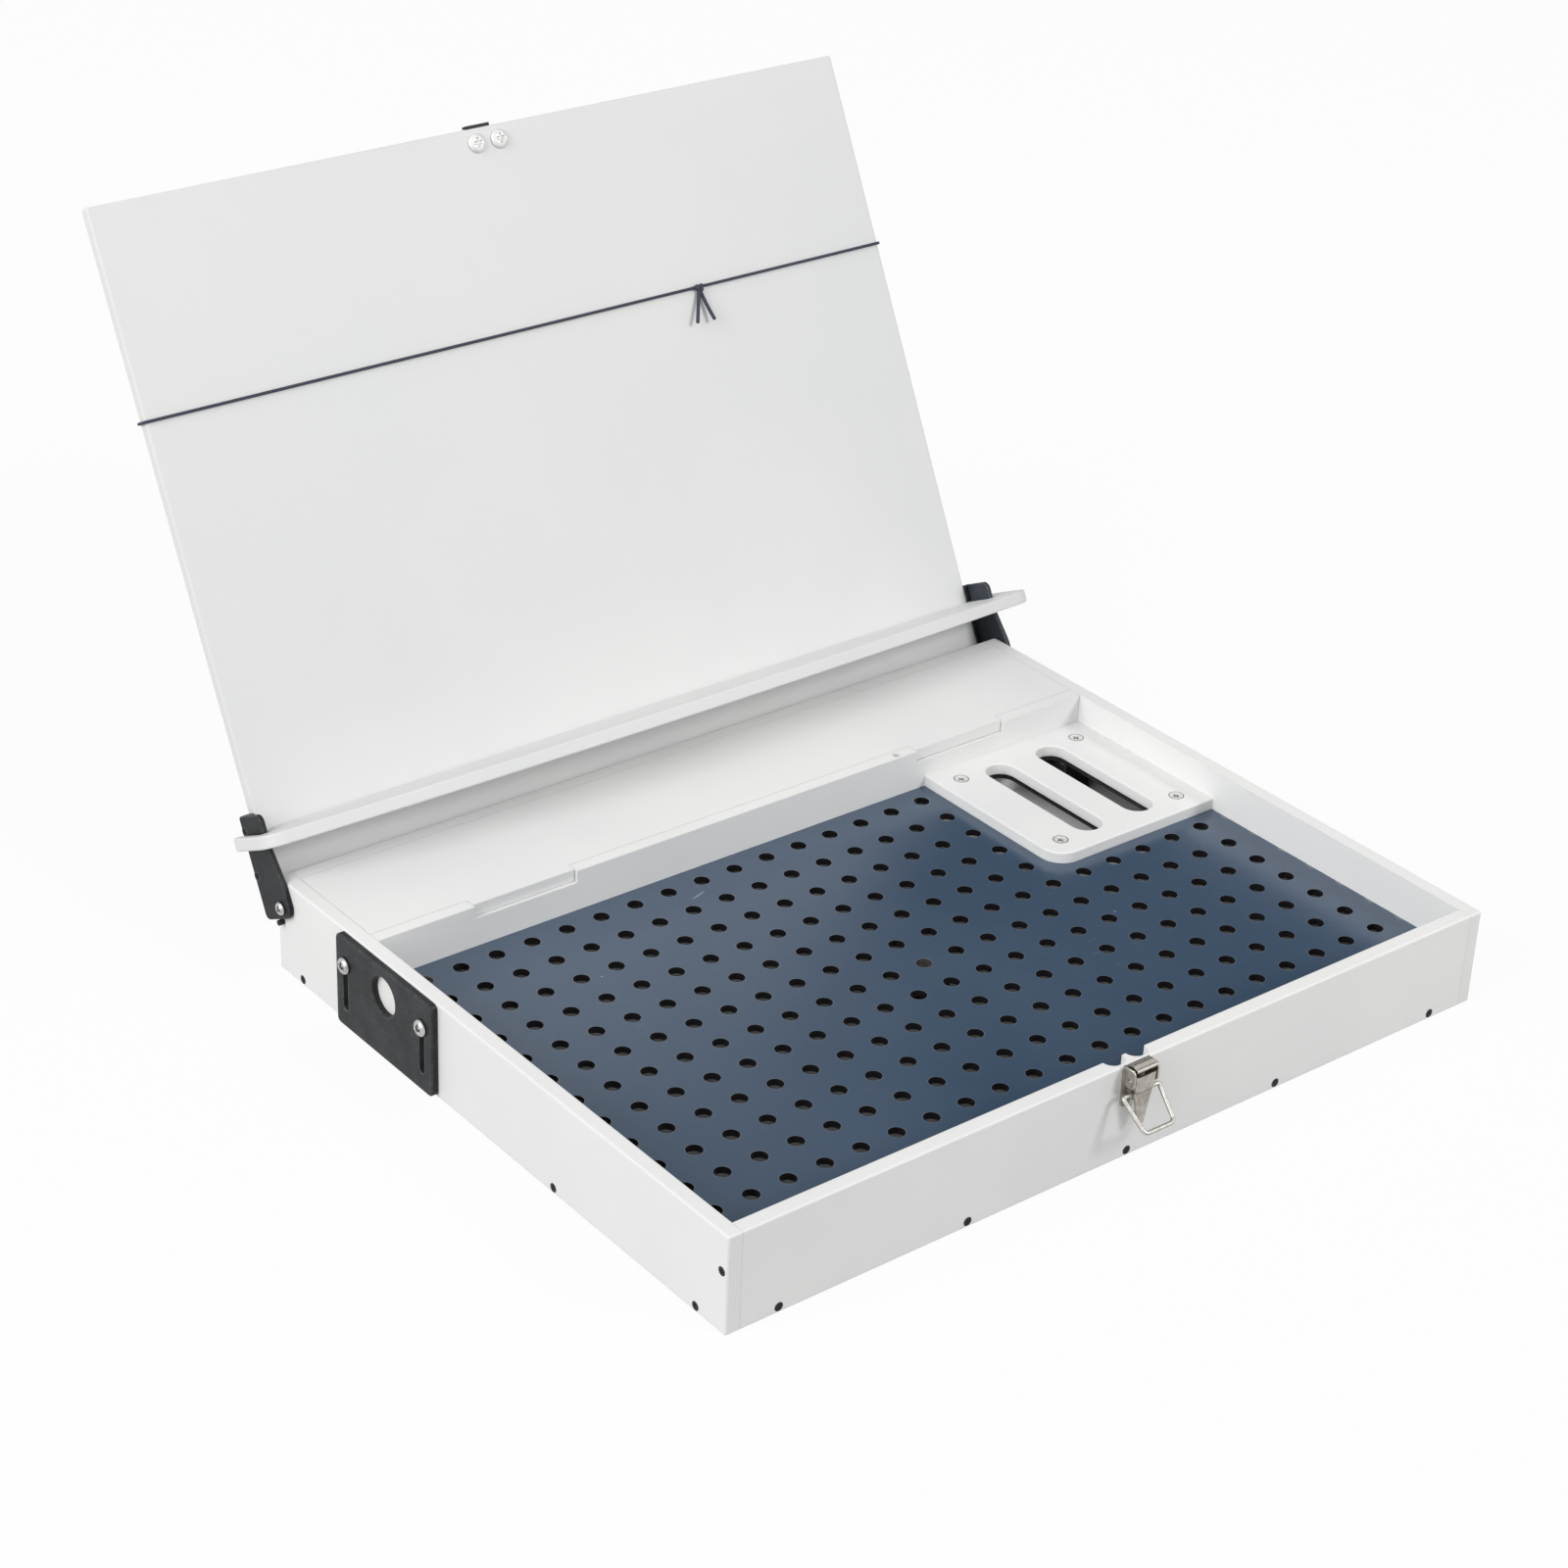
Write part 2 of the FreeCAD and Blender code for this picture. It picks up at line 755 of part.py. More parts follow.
def ledge_end(overhang):
    # corners of one end: from the lid's face round the arm's slot and out to the front
    slot_in = arm_inner - ledge_slot_clearance
    slot_out = arm_outer + ledge_slot_clearance
    slot_end = arm_front + ledge_gap
    tab_rear = lid_outer + arm_rear_inset
    end = arm_outer + overhang
    return [(slot_in, lid_inner + ledge_gap, ledge_slot_round), (slot_in, slot_end, ledge_slot_round),
            (slot_out, slot_end, ledge_slot_round), (slot_out, tab_rear, ledge_tab_round),
            (end, tab_rear, ledge_heel_round), (end, lid_inner + ledge_depth - ledge_bow, ledge_end_round)]


def plan_ledge():
    # bowed shelf square to the lid, with an open slot over each arm
    right = ledge_end(ledge_right_overhang)
    left = [(-a, b, radius) for a, b, radius in reversed(ledge_end(ledge_left_overhang))]
    middle = (ledge_right_overhang - ledge_left_overhang) / 2
    half = arm_outer + (ledge_right_overhang + ledge_left_overhang) / 2
    rise = 2 * ledge_bow
    bow_radius = bow_share * math.hypot(half, rise) * half / rise
    bow = (middle, lid_inner + ledge_depth - ledge_bow + rise, bow_radius)
    board = slab(right + [bow] + left, lambda a, b: lid_spot(a, ledge_height, b), V(0, -ledge_thickness, 0))
    faces = (pivot_y - ledge_height, pivot_y - ledge_height - ledge_thickness)
    rims = [edge for edge in board.Edges if any(near(edge.CenterOfMass.y, y) for y in faces)]
    return opened(board.makeFillet(ledge_edge, rims))


def latch_spot(x, out, z):
    return V(x, front_face - out, z)


def latch_block(x0, x1, out0, out1, z0, z1):
    return block(x0, x1, front_face - out1, front_face - out0, z0, z1)


def rivet_points(out):
    return [latch_spot(0, out, box_height - drop) for drop in (upper_rivet_drop, lower_rivet_drop)]


def rivet_rooms():
    diameter = rivet_diameter + 2 * screw_clearance
    depth = rivet_length + sheet + screw_clearance
    return [rod(diameter, point, V(0, 1, 0), depth) for point in rivet_points(sheet)]


def latch_base():
    # back plate, top flange with a curled lip, and two ears for the lever pin
    half = latch_width / 2
    half_flange = flange_width / 2
    top = box_height + flange_rise
    plate = latch_block(-half, half, 0, sheet, box_height - latch_drop, box_height)
    neck = latch_block(-half_flange, half_flange, 0, sheet, box_height - sheet, top)
    flange = latch_block(-half_flange, half_flange, 0, flange_reach, top - flange_thickness, top)
    curl_start = latch_spot(-half_flange, flange_reach, top - curl_radius)
    curl = rod(2 * curl_radius, curl_start, V(1, 0, 0), flange_width)
    parts = [neck, flange, curl]
    for side in (-1, 1):
        x0, x1 = sorted((side * half, side * (half - sheet)))
        tab = latch_block(x0, x1, 0, latch_pin_out, latch_pin_z - ear_radius, latch_pin_z + ear_radius)
        parts += [tab, rod(2 * ear_radius, latch_spot(x0, latch_pin_out, latch_pin_z), V(1, 0, 0), x1 - x0)]
    base = plate.fuse(parts).removeSplitter()
    bore = latch_pin_diameter + 2 * running_clearance
    pin_room = rod(bore, latch_spot(-half, latch_pin_out, latch_pin_z), V(1, 0, 0), latch_width)
    return base.cut([pin_room] + rivet_rooms())


def latch_rivets():
    rivets = []
    for point in rivet_points(sheet):
        head = Part.makeCylinder(rivet_head / 2, rivet_head_height, point, V(0, -1, 0))
        head = rounded(head, rivet_dome, lambda c: near(c.y, point.y - rivet_head_height))
        rivets.append(head.fuse(rod(rivet_diameter, point, V(0, 1, 0), rivet_length + sheet)))
    return Part.makeCompound(rivets)


def latch_pin():
    half = latch_width / 2
    start = latch_spot(-half, latch_pin_out, latch_pin_z)
    pin = rod(latch_pin_diameter, start, V(1, 0, 0), latch_width)
    for x, way in ((-half, -1), (half, 1)):
        end = latch_spot(x, latch_pin_out, latch_pin_z)
        pin = pin.fuse(rod(latch_pin_diameter + latch_pin_head, end, V(way, 0, 0), latch_pin_head))
    return pin


def latch_lever():
    # tapered tongue with two cheeks that carry the pin and the bail
    top = box_height - lever_top
    shoulder = box_height - lever_shoulder
    tip = box_height - lever_tip
    half_top = lever_top_width / 2
    half_shoulder = lever_shoulder_width / 2
    right = [(lever_tip_width / 2, tip, lever_tip_round), (half_shoulder, shoulder, lever_shoulder_round),
             (half_top, top, lever_top_round)]
    left = [(-a, b, radius) for a, b, radius in reversed(right)]
    tongue = slab(right + left, lambda a, b: latch_spot(a, lever_out, b), V(0, -lever_sheet, 0))
    back = latch_pin_out - ear_radius
    low = bail_pivot_z - bail_wire - running_clearance
    cheek = [(lever_out, latch_pin_z + ear_radius, 0), (back, latch_pin_z + ear_radius, cheek_top_round),
             (back, latch_pin_z - ear_radius, cheek_round),
             (latch_pin_out - cheek_foot / 2, low, cheek_round),
             (latch_pin_out + cheek_foot / 2, low, lever_top_round), (lever_out, low + bail_wire, 0)]
    bores = []
    for diameter, height in ((latch_pin_diameter, latch_pin_z), (bail_wire, bail_pivot_z)):
        start = latch_spot(-half_top, latch_pin_out, height)
        bores.append(rod(diameter + 2 * running_clearance, start, V(1, 0, 0), lever_top_width))
    cheeks = []
    for x in (-half_shoulder, half_shoulder - sheet):
        cheeks.append(slab(cheek, lambda a, b: latch_spot(x, a, b), V(sheet, 0, 0)))
    return tongue.fuse(cheeks).removeSplitter().cut(bores)


def latch_bail():
    # wire loop with its ends hooked into the lever's cheeks
    lean = math.radians(bail_angle)
    top_half, foot_half = bail_top_width / 2, bail_foot_width / 2

    def place(a, b):
        return latch_spot(a, latch_pin_out + b * math.sin(lean), bail_pivot_z - b * math.cos(lean))

    corners = [(hook_end, 0, 0), (top_half, 0, bail_bend), (foot_half, bail_leg, bail_bend),
               (-foot_half, bail_leg, bail_bend), (-top_half, 0, bail_bend), (-hook_end, 0, 0)]
    closed = outline(corners, place)
    gap = place(0, 0)
    kept = [edge for edge in closed.OrderedEdges if edge.CenterOfMass.distanceToPoint(gap) > same_place]
    return swept(Part.Wire(kept), bail_wire, place(hook_end, 0), V(1, 0, 0))


def build():
    screws = bottom_screw_points()
    return {
        "bottom_panel": bottom_panel(),
        "front_wall": front_wall(),
        "back_wall": back_wall(),
        "left_wall": side_wall(-1),
        "right_wall": side_wall(1),
        "divider": divider(),
        "front_wall_screws": screw_group(screws["front"], wall_screw),
        "back_wall_screws": screw_group(screws["back"], wall_screw),
        "left_wall_screws": screw_group(screws["left"], wall_screw),
        "right_wall_screws": screw_group(screws["right"], wall_screw),
        "corner_screws": screw_group(corner_screw_points(), wall_screw),
        "work_plate": work_plate(),
        "work_plate_posts": work_plate_posts(),
        "work_plate_screws": screw_group(plate_screw_points(), plate_screw),
        "corner_plate": corner_plate(),
        "corner_plate_screws": screw_group(cap_screw_points(), cap_screw),
        "storage_cover": storage_cover(),
        "cover_cleats": cover_cleats(),
        "side_stop_plate": side_stop_plate(),
        "side_stop_screws": side_stop_screws(),
        "side_stop_inserts": side_stop_inserts(),
        "pivot_screws": pivot_screws(),
        "pivot_inserts": pivot_inserts(),
        "stop_pins": stop_pins(),
        "lid_panel": lid_panel(),
        "left_arm": hinge_arm(-1),
        "right_arm": hinge_arm(1),
        "left_packer": packer(-1),
        "right_packer": packer(1),
        "arm_screws": arm_screws(),
        "keeper": keeper(),
        "keeper_screws": keeper_screws(),
        "elastic_cord": elastic_cord(),
        "plan_ledge": plan_ledge(),
        "latch_base": latch_base(),
        "latch_rivets": latch_rivets(),
        "latch_pin": latch_pin(),
        "latch_lever": latch_lever(),
        "latch_bail": latch_bail(),
    }


os.makedirs("parts", exist_ok=True)
for name, shape in build().items():
    solids = shape.Solids
    print(name, len(solids), "valid" if shape.isValid() else "NOT VALID", round(shape.Volume, 1))
    shape.exportStep("parts/%s.step" % name)
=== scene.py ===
import bpy
import json
import numpy as np
from mathutils import Matrix, Vector
from types import SimpleNamespace as Settings


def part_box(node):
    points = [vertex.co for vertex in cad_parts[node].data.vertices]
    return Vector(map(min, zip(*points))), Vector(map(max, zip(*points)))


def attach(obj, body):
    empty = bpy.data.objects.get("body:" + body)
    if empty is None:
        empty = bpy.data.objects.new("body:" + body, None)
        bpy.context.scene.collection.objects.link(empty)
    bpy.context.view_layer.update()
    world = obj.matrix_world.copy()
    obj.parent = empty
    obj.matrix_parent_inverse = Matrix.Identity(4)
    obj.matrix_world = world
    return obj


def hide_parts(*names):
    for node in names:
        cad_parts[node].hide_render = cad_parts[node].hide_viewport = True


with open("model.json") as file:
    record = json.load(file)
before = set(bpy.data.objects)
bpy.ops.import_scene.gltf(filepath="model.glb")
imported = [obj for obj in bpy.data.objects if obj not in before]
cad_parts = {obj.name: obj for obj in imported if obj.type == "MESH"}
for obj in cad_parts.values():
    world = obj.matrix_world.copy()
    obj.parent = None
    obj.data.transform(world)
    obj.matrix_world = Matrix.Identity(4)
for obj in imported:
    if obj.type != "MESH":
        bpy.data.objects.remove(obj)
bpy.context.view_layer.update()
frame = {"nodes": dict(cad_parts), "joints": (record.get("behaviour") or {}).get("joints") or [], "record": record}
nodes = frame["nodes"]
scene = bpy.context.scene

# node helpers


def feed(tree, node, inputs):
    # an input that is given a socket is linked, any other value is set on it
    for key, value in inputs.items():
        if isinstance(value, bpy.types.NodeSocket):
            tree.links.new(value, node.inputs[key])
        else:
            node.inputs[key].default_value = value


def addNode(tree, kind, inputs=None, **settings):
    # makes a shader node and gives back its outputs
    node = tree.nodes.new("ShaderNode" + kind)
    for key, value in settings.items():
        setattr(node, key, value)
    feed(tree, node, inputs or {})
    return node.outputs


def calc(tree, operation, first, second=0.0, third=0.0):
    return addNode(tree, "Math", {0: first, 1: second, 2: third}, operation=operation)[0]


def times(tree, first, second):
    return calc(tree, "MULTIPLY", first, second)


def parted(tree, vector):
    # x, y and z of a vector
    return addNode(tree, "SeparateXYZ", {0: vector})


def faceNormal(tree, kind="Normal"):
    return addNode(tree, "NewGeometry")[kind]


def blendColours(tree, factor, first, second):
    return addNode(tree, "Mix", {0: factor, 6: first, 7: second}, data_type="RGBA")[2]


def ramp(tree, value, low, high, toLow=0.0, toHigh=1.0):
    # straight line from low to high, clamped at both ends
    return addNode(tree, "MapRange", {0: value, 1: low, 2: high, 3: toLow, 4: toHigh}, clamp=True)[0]


def noise(tree, vector, scale, detail=2.0, roughness=0.5):
    inputs = {"Vector": vector, "Scale": scale, "Detail": detail, "Roughness": roughness}
    return addNode(tree, "TexNoise", inputs)[0]


def stretched(tree, vector, factors):
    return addNode(tree, "VectorMath", {0: vector, 1: factors}, operation="MULTIPLY")[0]


def makeGroup(name, inputs, outputs):
    tree = bpy.data.node_groups.new(name, "ShaderNodeTree")
    for label, kind, value in inputs:
        tree.interface.new_socket(name=label, in_out="INPUT", socket_type=kind).default_value = value
    for label, kind in outputs:
        tree.interface.new_socket(name=label, in_out="OUTPUT", socket_type=kind)
    return tree, tree.nodes.new("NodeGroupInput").outputs, tree.nodes.new("NodeGroupOutput").inputs


def useGroup(tree, group, inputs):
    return addNode(tree, "Group", inputs, node_tree=group)


def makeMaterial(name):
    material = bpy.data.materials.new(name)
    material.use_nodes = True
    tree = material.node_tree
    shader = tree.nodes["Principled BSDF"]
    place = addNode(tree, "TexCoord")["Object"]
    return material, tree, shader, place


def bump(tree, height, distance, strength, normal=None):
    inputs = {"Height": height, "Distance": distance, "Strength": strength}
    if normal is not None:
        inputs["Normal"] = normal
    return addNode(tree, "Bump", inputs)[0]


floatKind, vectorKind = "NodeSocketFloat", "NodeSocketVector"
groupSet = Settings(
    streakShare=0.6,   # weight of the grain's streaks beside the stipple
    cloudScale=7.0,
    edgeTurn=(0.995, 0.75),   # cosines at which a turned edge starts to show, and shows fully
    scuffLines=(0.68, 0.76),
    scuffPatches=(0.52, 0.66),
)


def makePaintSurface():
    # roller stipple plus long streaks of wood grain showing through the paint
    tree, given, made = makeGroup(
        "paintSurface",
        [("Vector", vectorKind, (0, 0, 0)), ("Stipple", floatKind, 900.0),
         ("Grain", vectorKind, (20, 400, 400))],
        [("Height", floatKind), ("Cloud", floatKind)])
    stipple = noise(tree, given["Vector"], given["Stipple"], 3.0)
    along = stretched(tree, given["Vector"], given["Grain"])
    streak = noise(tree, along, 1.0, 4.0, 0.6)
    cloud = noise(tree, given["Vector"], groupSet.cloudScale, 3.0)
    height = calc(tree, "ADD", stipple, times(tree, streak, groupSet.streakShare))
    tree.links.new(height, made["Height"])
    tree.links.new(cloud, made["Cloud"])
    return tree


def makeSoftEdge():
    # rounded normal near an edge, and how far it turns away from the face
    tree, given, made = makeGroup(
        "softEdge", [("Radius", floatKind, 0.0006)], [("Mask", floatKind), ("Normal", vectorKind)])
    rounded = addNode(tree, "Bevel", {"Radius": given["Radius"]}, samples=6)[0]
    both = {0: rounded, 1: faceNormal(tree, "True Normal")}
    turn = addNode(tree, "VectorMath", both, operation="DOT_PRODUCT")["Value"]
    tree.links.new(ramp(tree, turn, *groupSet.edgeTurn), made["Mask"])
    tree.links.new(rounded, made["Normal"])
    return tree


def makeSpecks():
    # a few cells of a random mosaic hold a round speck
    tree, given, made = makeGroup(
        "specks",
        [("Vector", vectorKind, (0, 0, 0)), ("Scale", floatKind, 60.0), ("Size", floatKind, 0.06),
         ("Share", floatKind, 0.1)],
        [("Mask", floatKind)])
    cells = addNode(tree, "TexVoronoi", {"Vector": given["Vector"], "Scale": given["Scale"]})
    luck = addNode(tree, "SeparateColor", {0: cells["Color"]})[0]
    pick = calc(tree, "LESS_THAN", luck, given["Share"])
    edge = times(tree, given["Size"], 0.5)
    spot = ramp(tree, cells["Distance"], given["Size"], edge)
    tree.links.new(times(tree, spot, pick), made["Mask"])
    return tree


def makeScuffs():
    # thin bright lines of a stretched noise, kept only in patches
    tree, given, made = makeGroup(
        "scuffs",
        [("Vector", vectorKind, (0, 0, 0)), ("Stretch", vectorKind, (40, 900, 900)),
         ("Patch", floatKind, 25.0)],
        [("Mask", floatKind)])
    along = stretched(tree, given["Vector"], given["Stretch"])
    lines = ramp(tree, noise(tree, along, 1.0), *groupSet.scuffLines)
    patches = ramp(tree, noise(tree, given["Vector"], given["Patch"]), *groupSet.scuffPatches)
    tree.links.new(times(tree, lines, patches), made["Mask"])
    return tree


paintSurface = makePaintSurface()
softEdge = makeSoftEdge()
specks = makeSpecks()
scuffs = makeScuffs()
print("shader groups ready")

# materials

toneSpan, roughSpan = (0.35, 0.65), (0.3, 0.7)   # noise values between which tones, or roughness, blend
whitePaint = Settings(
    box=((0.74, 0.745, 0.74, 1), (0.80, 0.80, 0.79, 1)),
    # lid: the white painted darker, painted shade for the lid and the plan ledge
    lid=((0.67, 0.675, 0.675, 1), (0.72, 0.72, 0.715, 1)),
    worn=(0.62, 0.61, 0.58, 1),
    wornScale=260.0,
    wornSpan=(0.45, 0.7),
    wornShare=0.5,
    speck=(0.35, 0.33, 0.30, 1),
    specks={"Scale": 45.0, "Size": 0.018, "Share": 0.06},
    speckShare=0.7,
    stipple=1100.0,
    edge=0.0006,
    ply=0.0015,
    plyShare=0.30,
    plySpan=(0.2, 0.9),
    plyFacing=0.9,
    roughness=(0.42, 0.52),
    relief=(0.00006, 0.35),   # depth and strength of the bump
)


def whiteBoard(name, tones, grain, plyAxis=None):
    # satin white paint on plywood, grain stretched along the board, faint ply lines on bare ends
    material, tree, shader, place = makeMaterial(name)
    paint = useGroup(tree, paintSurface, {"Vector": place, "Stipple": whitePaint.stipple, "Grain": grain})
    edge = useGroup(tree, softEdge, {"Radius": whitePaint.edge})
    dirt = useGroup(tree, specks, {"Vector": place, **whitePaint.specks})
    colour = blendColours(tree, ramp(tree, paint["Cloud"], *toneSpan), *tones)
    rubbing = noise(tree, place, whitePaint.wornScale, 3.0)
    rubbing = ramp(tree, rubbing, *whitePaint.wornSpan, 0.0, whitePaint.wornShare)
    colour = blendColours(tree, times(tree, edge["Mask"], rubbing), colour, whitePaint.worn)
    spots = times(tree, dirt["Mask"], whitePaint.speckShare)
    colour = blendColours(tree, spots, colour, whitePaint.speck)
    height = paint["Height"]
    if plyAxis is not None:
        # ply lines: a sine wave through the sheet, kept on faces that look along Y
        facing = calc(tree, "ABSOLUTE", parted(tree, faceNormal(tree))[1])
        ends = calc(tree, "GREATER_THAN", facing, whitePaint.plyFacing)
        wave = calc(tree, "SINE", times(tree, parted(tree, place)[plyAxis], 2 * np.pi / whitePaint.ply))
        lines = times(tree, ramp(tree, wave, *whitePaint.plySpan), ends)
        colour = blendColours(tree, times(tree, lines, whitePaint.plyShare), colour, whitePaint.worn)
        height = calc(tree, "SUBTRACT", height, lines)
    feed(tree, shader, {
        "Base Color": colour,
        "Roughness": ramp(tree, paint["Cloud"], *roughSpan, *whitePaint.roughness),
        "Normal": bump(tree, height, *whitePaint.relief, edge["Normal"])})
    return material


bluePaint = Settings(
    colour=(0.036, 0.067, 0.116, 1),
    pale=(0.044, 0.076, 0.127, 1),
    board=(0.20, 0.21, 0.22, 1),
    # near black for upright faces: dark bore walls with painted shade
    bore=(0.006, 0.006, 0.008, 1),
    dust=(0.45, 0.48, 0.50, 1),
    specks={"Scale": 38.0, "Size": 0.022, "Share": 0.16},
    speckShare=0.75,
    rub={"Stretch": (60, 1100, 1100), "Patch": 18.0},
    rubShare=0.10,
    paint={"Stipple": 1400.0, "Grain": (30, 500, 500)},
    pitch=0.020,
    firstHole=(0.0, -0.033),
    holeRadius=0.004,
    rim=0.00048,
    rimShare=0.55,
    chips=700.0,
    scratch=((-0.0555, 0.0752), (-0.0445, 0.0783)),
    scratchWidth=0.0005,
    scratchShare=0.8,
    scratchFade=(0.4, 0.8),   # shares of its length between which it shows fully
    boreFacing=0.5,
    roughness=(0.20, 0.28),
    specular=0.8,
    relief=(0.00005, 0.35),
)


def blueBoard():
    # slate blue paint, bare board showing in a thin ring round every hole, bores near black: dark board with
    # painted shade
    material, tree, shader, place = makeMaterial("blueBoard")
    paint = useGroup(tree, paintSurface, {"Vector": place, **bluePaint.paint})
    dust = useGroup(tree, specks, {"Vector": place, **bluePaint.specks})
    rub = useGroup(tree, scuffs, {"Vector": place, **bluePaint.rub})
    cloud = ramp(tree, paint["Cloud"], *toneSpan)
    colour = blendColours(tree, cloud, bluePaint.colour, bluePaint.pale)
    colour = blendColours(tree, times(tree, rub["Mask"], bluePaint.rubShare), colour, bluePaint.dust)
    # distance from the nearest hole of the square grid, each side folded back at half the pitch
    flat = parted(tree, place)
    squares = []
    for side, first in enumerate(bluePaint.firstHole):
        folded = calc(tree, "PINGPONG", calc(tree, "SUBTRACT", flat[side], first), bluePaint.pitch / 2)
        squares.append(calc(tree, "POWER", folded, 2.0))
    reach = calc(tree, "SQRT", calc(tree, "ADD", *squares))
    chips = noise(tree, place, bluePaint.chips)
    outer = calc(tree, "MULTIPLY_ADD", chips, bluePaint.rim, bluePaint.holeRadius)
    ring = times(tree, calc(tree, "LESS_THAN", reach, outer), bluePaint.rimShare)
    colour = blendColours(tree, ring, colour, bluePaint.board)
    # one long scratch: how far a point lies along a straight line, and how far aside of it
    start, end = (np.array(spot) for spot in bluePaint.scratch)
    length = np.linalg.norm(end - start)
    runX, runY = (end - start) / length
    dx = calc(tree, "SUBTRACT", flat[0], start[0])
    dy = calc(tree, "SUBTRACT", flat[1], start[1])
    along = calc(tree, "ADD", times(tree, dx, runX), times(tree, dy, runY))
    aside = calc(tree, "SUBTRACT", times(tree, dy, runX), times(tree, dx, runY))
    fadeIn, fadeOut = length * np.array(bluePaint.scratchFade)
    inside = times(tree, ramp(tree, along, 0.0, fadeIn), ramp(tree, along, length, fadeOut))
    line = ramp(tree, calc(tree, "ABSOLUTE", aside), bluePaint.scratchWidth, 0.0)
    mark = times(tree, times(tree, inside, line), bluePaint.scratchShare)
    colour = blendColours(tree, mark, colour, bluePaint.dust)
    spots = times(tree, dust["Mask"], bluePaint.speckShare)
    colour = blendColours(tree, spots, colour, bluePaint.dust)
    # upright faces (bores, cut edges) near black: dark board with painted shade
    facing = calc(tree, "ABSOLUTE", parted(tree, faceNormal(tree))[2])
    upright = calc(tree, "LESS_THAN", facing, bluePaint.boreFacing)
    colour = blendColours(tree, upright, colour, bluePaint.bore)
    feed(tree, shader, {
        "Base Color": colour,
        "Roughness": ramp(tree, paint["Cloud"], *roughSpan, *bluePaint.roughness),
        "Normal": bump(tree, paint["Height"], *bluePaint.relief),
        "Specular IOR Level": bluePaint.specular})
    return material


blackMould = Settings(
    arms=((0.011, 0.013, 0.015, 1), (0.019, 0.021, 0.023, 1)),
    # right arm: the arms' black painted lighter and bluer, painted light on its shaded face
    farArm=((0.034, 0.039, 0.050, 1), (0.045, 0.051, 0.064, 1)),
    stop=((0.018, 0.020, 0.021, 1), (0.029, 0.032, 0.034, 1)),
    # paler edges, flecks and scuffs: rubbed wear, on edges also a painted highlight
    rubbed=(0.30, 0.30, 0.31, 1),
    rub={"Stretch": (300, 60, 900), "Patch": 60.0},
    rubShare=0.25,
    flecks={"Scale": 620.0, "Size": 0.30, "Share": 0.22},
    fleckShare=0.10,
    cloud=90.0,
    wear=400.0,
    wearSpan=(0.4, 0.65),
    wearShares=(0.3, 0.9),
    grain=2600.0,
    edge=0.0010,
    roughness=(0.40, 0.56),
    specular=0.16,
    relief=(0.00004, 0.5),
)


def blackPlastic(name, tones):
    # fine matt moulding with paler flecks, edges rubbed paler and given a painted highlight
    material, tree, shader, place = makeMaterial(name)
    edge = useGroup(tree, softEdge, {"Radius": blackMould.edge})
    rub = useGroup(tree, scuffs, {"Vector": place, **blackMould.rub})
    flecks = useGroup(tree, specks, {"Vector": place, **blackMould.flecks})
    grain = noise(tree, place, blackMould.grain)
    cloud = noise(tree, place, blackMould.cloud, 3.0)
    colour = blendColours(tree, ramp(tree, cloud, *toneSpan), *tones)
    wear = noise(tree, place, blackMould.wear, 3.0)
    wear = ramp(tree, wear, *blackMould.wearSpan, *blackMould.wearShares)
    # paler edges: rubbed wear with a painted highlight
    worn = times(tree, edge["Mask"], wear)
    worn = calc(tree, "MAXIMUM", worn, times(tree, rub["Mask"], blackMould.rubShare))
    worn = calc(tree, "MAXIMUM", worn, times(tree, flecks["Mask"], blackMould.fleckShare))
    colour = blendColours(tree, worn, colour, blackMould.rubbed)
    feed(tree, shader, {
        "Base Color": colour,
        "Roughness": ramp(tree, grain, *roughSpan, *blackMould.roughness),
        "Normal": bump(tree, grain, *blackMould.relief, edge["Normal"]),
        "Specular IOR Level": blackMould.specular})
    return material


metalSet = Settings(
    # dark colour for grime and painted shade where the mesh marks it
    grime=(0.03, 0.028, 0.025, 1),
    grimeShare=0.85,
    bloom=350.0,
    patch=120.0,
    dullSpan=(0.42, 0.7),
    dullRoughness=0.14,
    roughSpan=(0.35, 0.7),
    lineScale=2.0,
    scuffRoughness=0.15,
    relief=(0.000004, 0.2),
)
turned, drawn = (900, 900, 900), (2200, 2200, 300)   # how polishing lines run
metals = {   # colour, dull patches, roughness, polishing lines, metallic, specular
    "blackSteel": ((0.014, 0.014, 0.016, 1), (0.034, 0.032, 0.030, 1), 0.42, turned, 0.2, 0.2),
    "brightSteel": ((0.52, 0.52, 0.52, 1), (0.36, 0.35, 0.34, 1), 0.28, turned, 1.0, 0.5),
    "paleSteel": ((0.76, 0.76, 0.75, 1), (0.68, 0.68, 0.67, 1), 0.42, turned, 0.35, 0.5),
    "nickel": ((0.44, 0.42, 0.38, 1), (0.34, 0.315, 0.28, 1), 0.24, drawn, 1.0, 0.5),
    "nickelWire": ((0.46, 0.45, 0.42, 1), (0.38, 0.365, 0.335, 1), 0.38, drawn, 1.0, 0.5),
    "brass": ((0.72, 0.52, 0.24, 1), (0.50, 0.36, 0.18, 1), 0.30, turned, 1.0, 0.5),
}


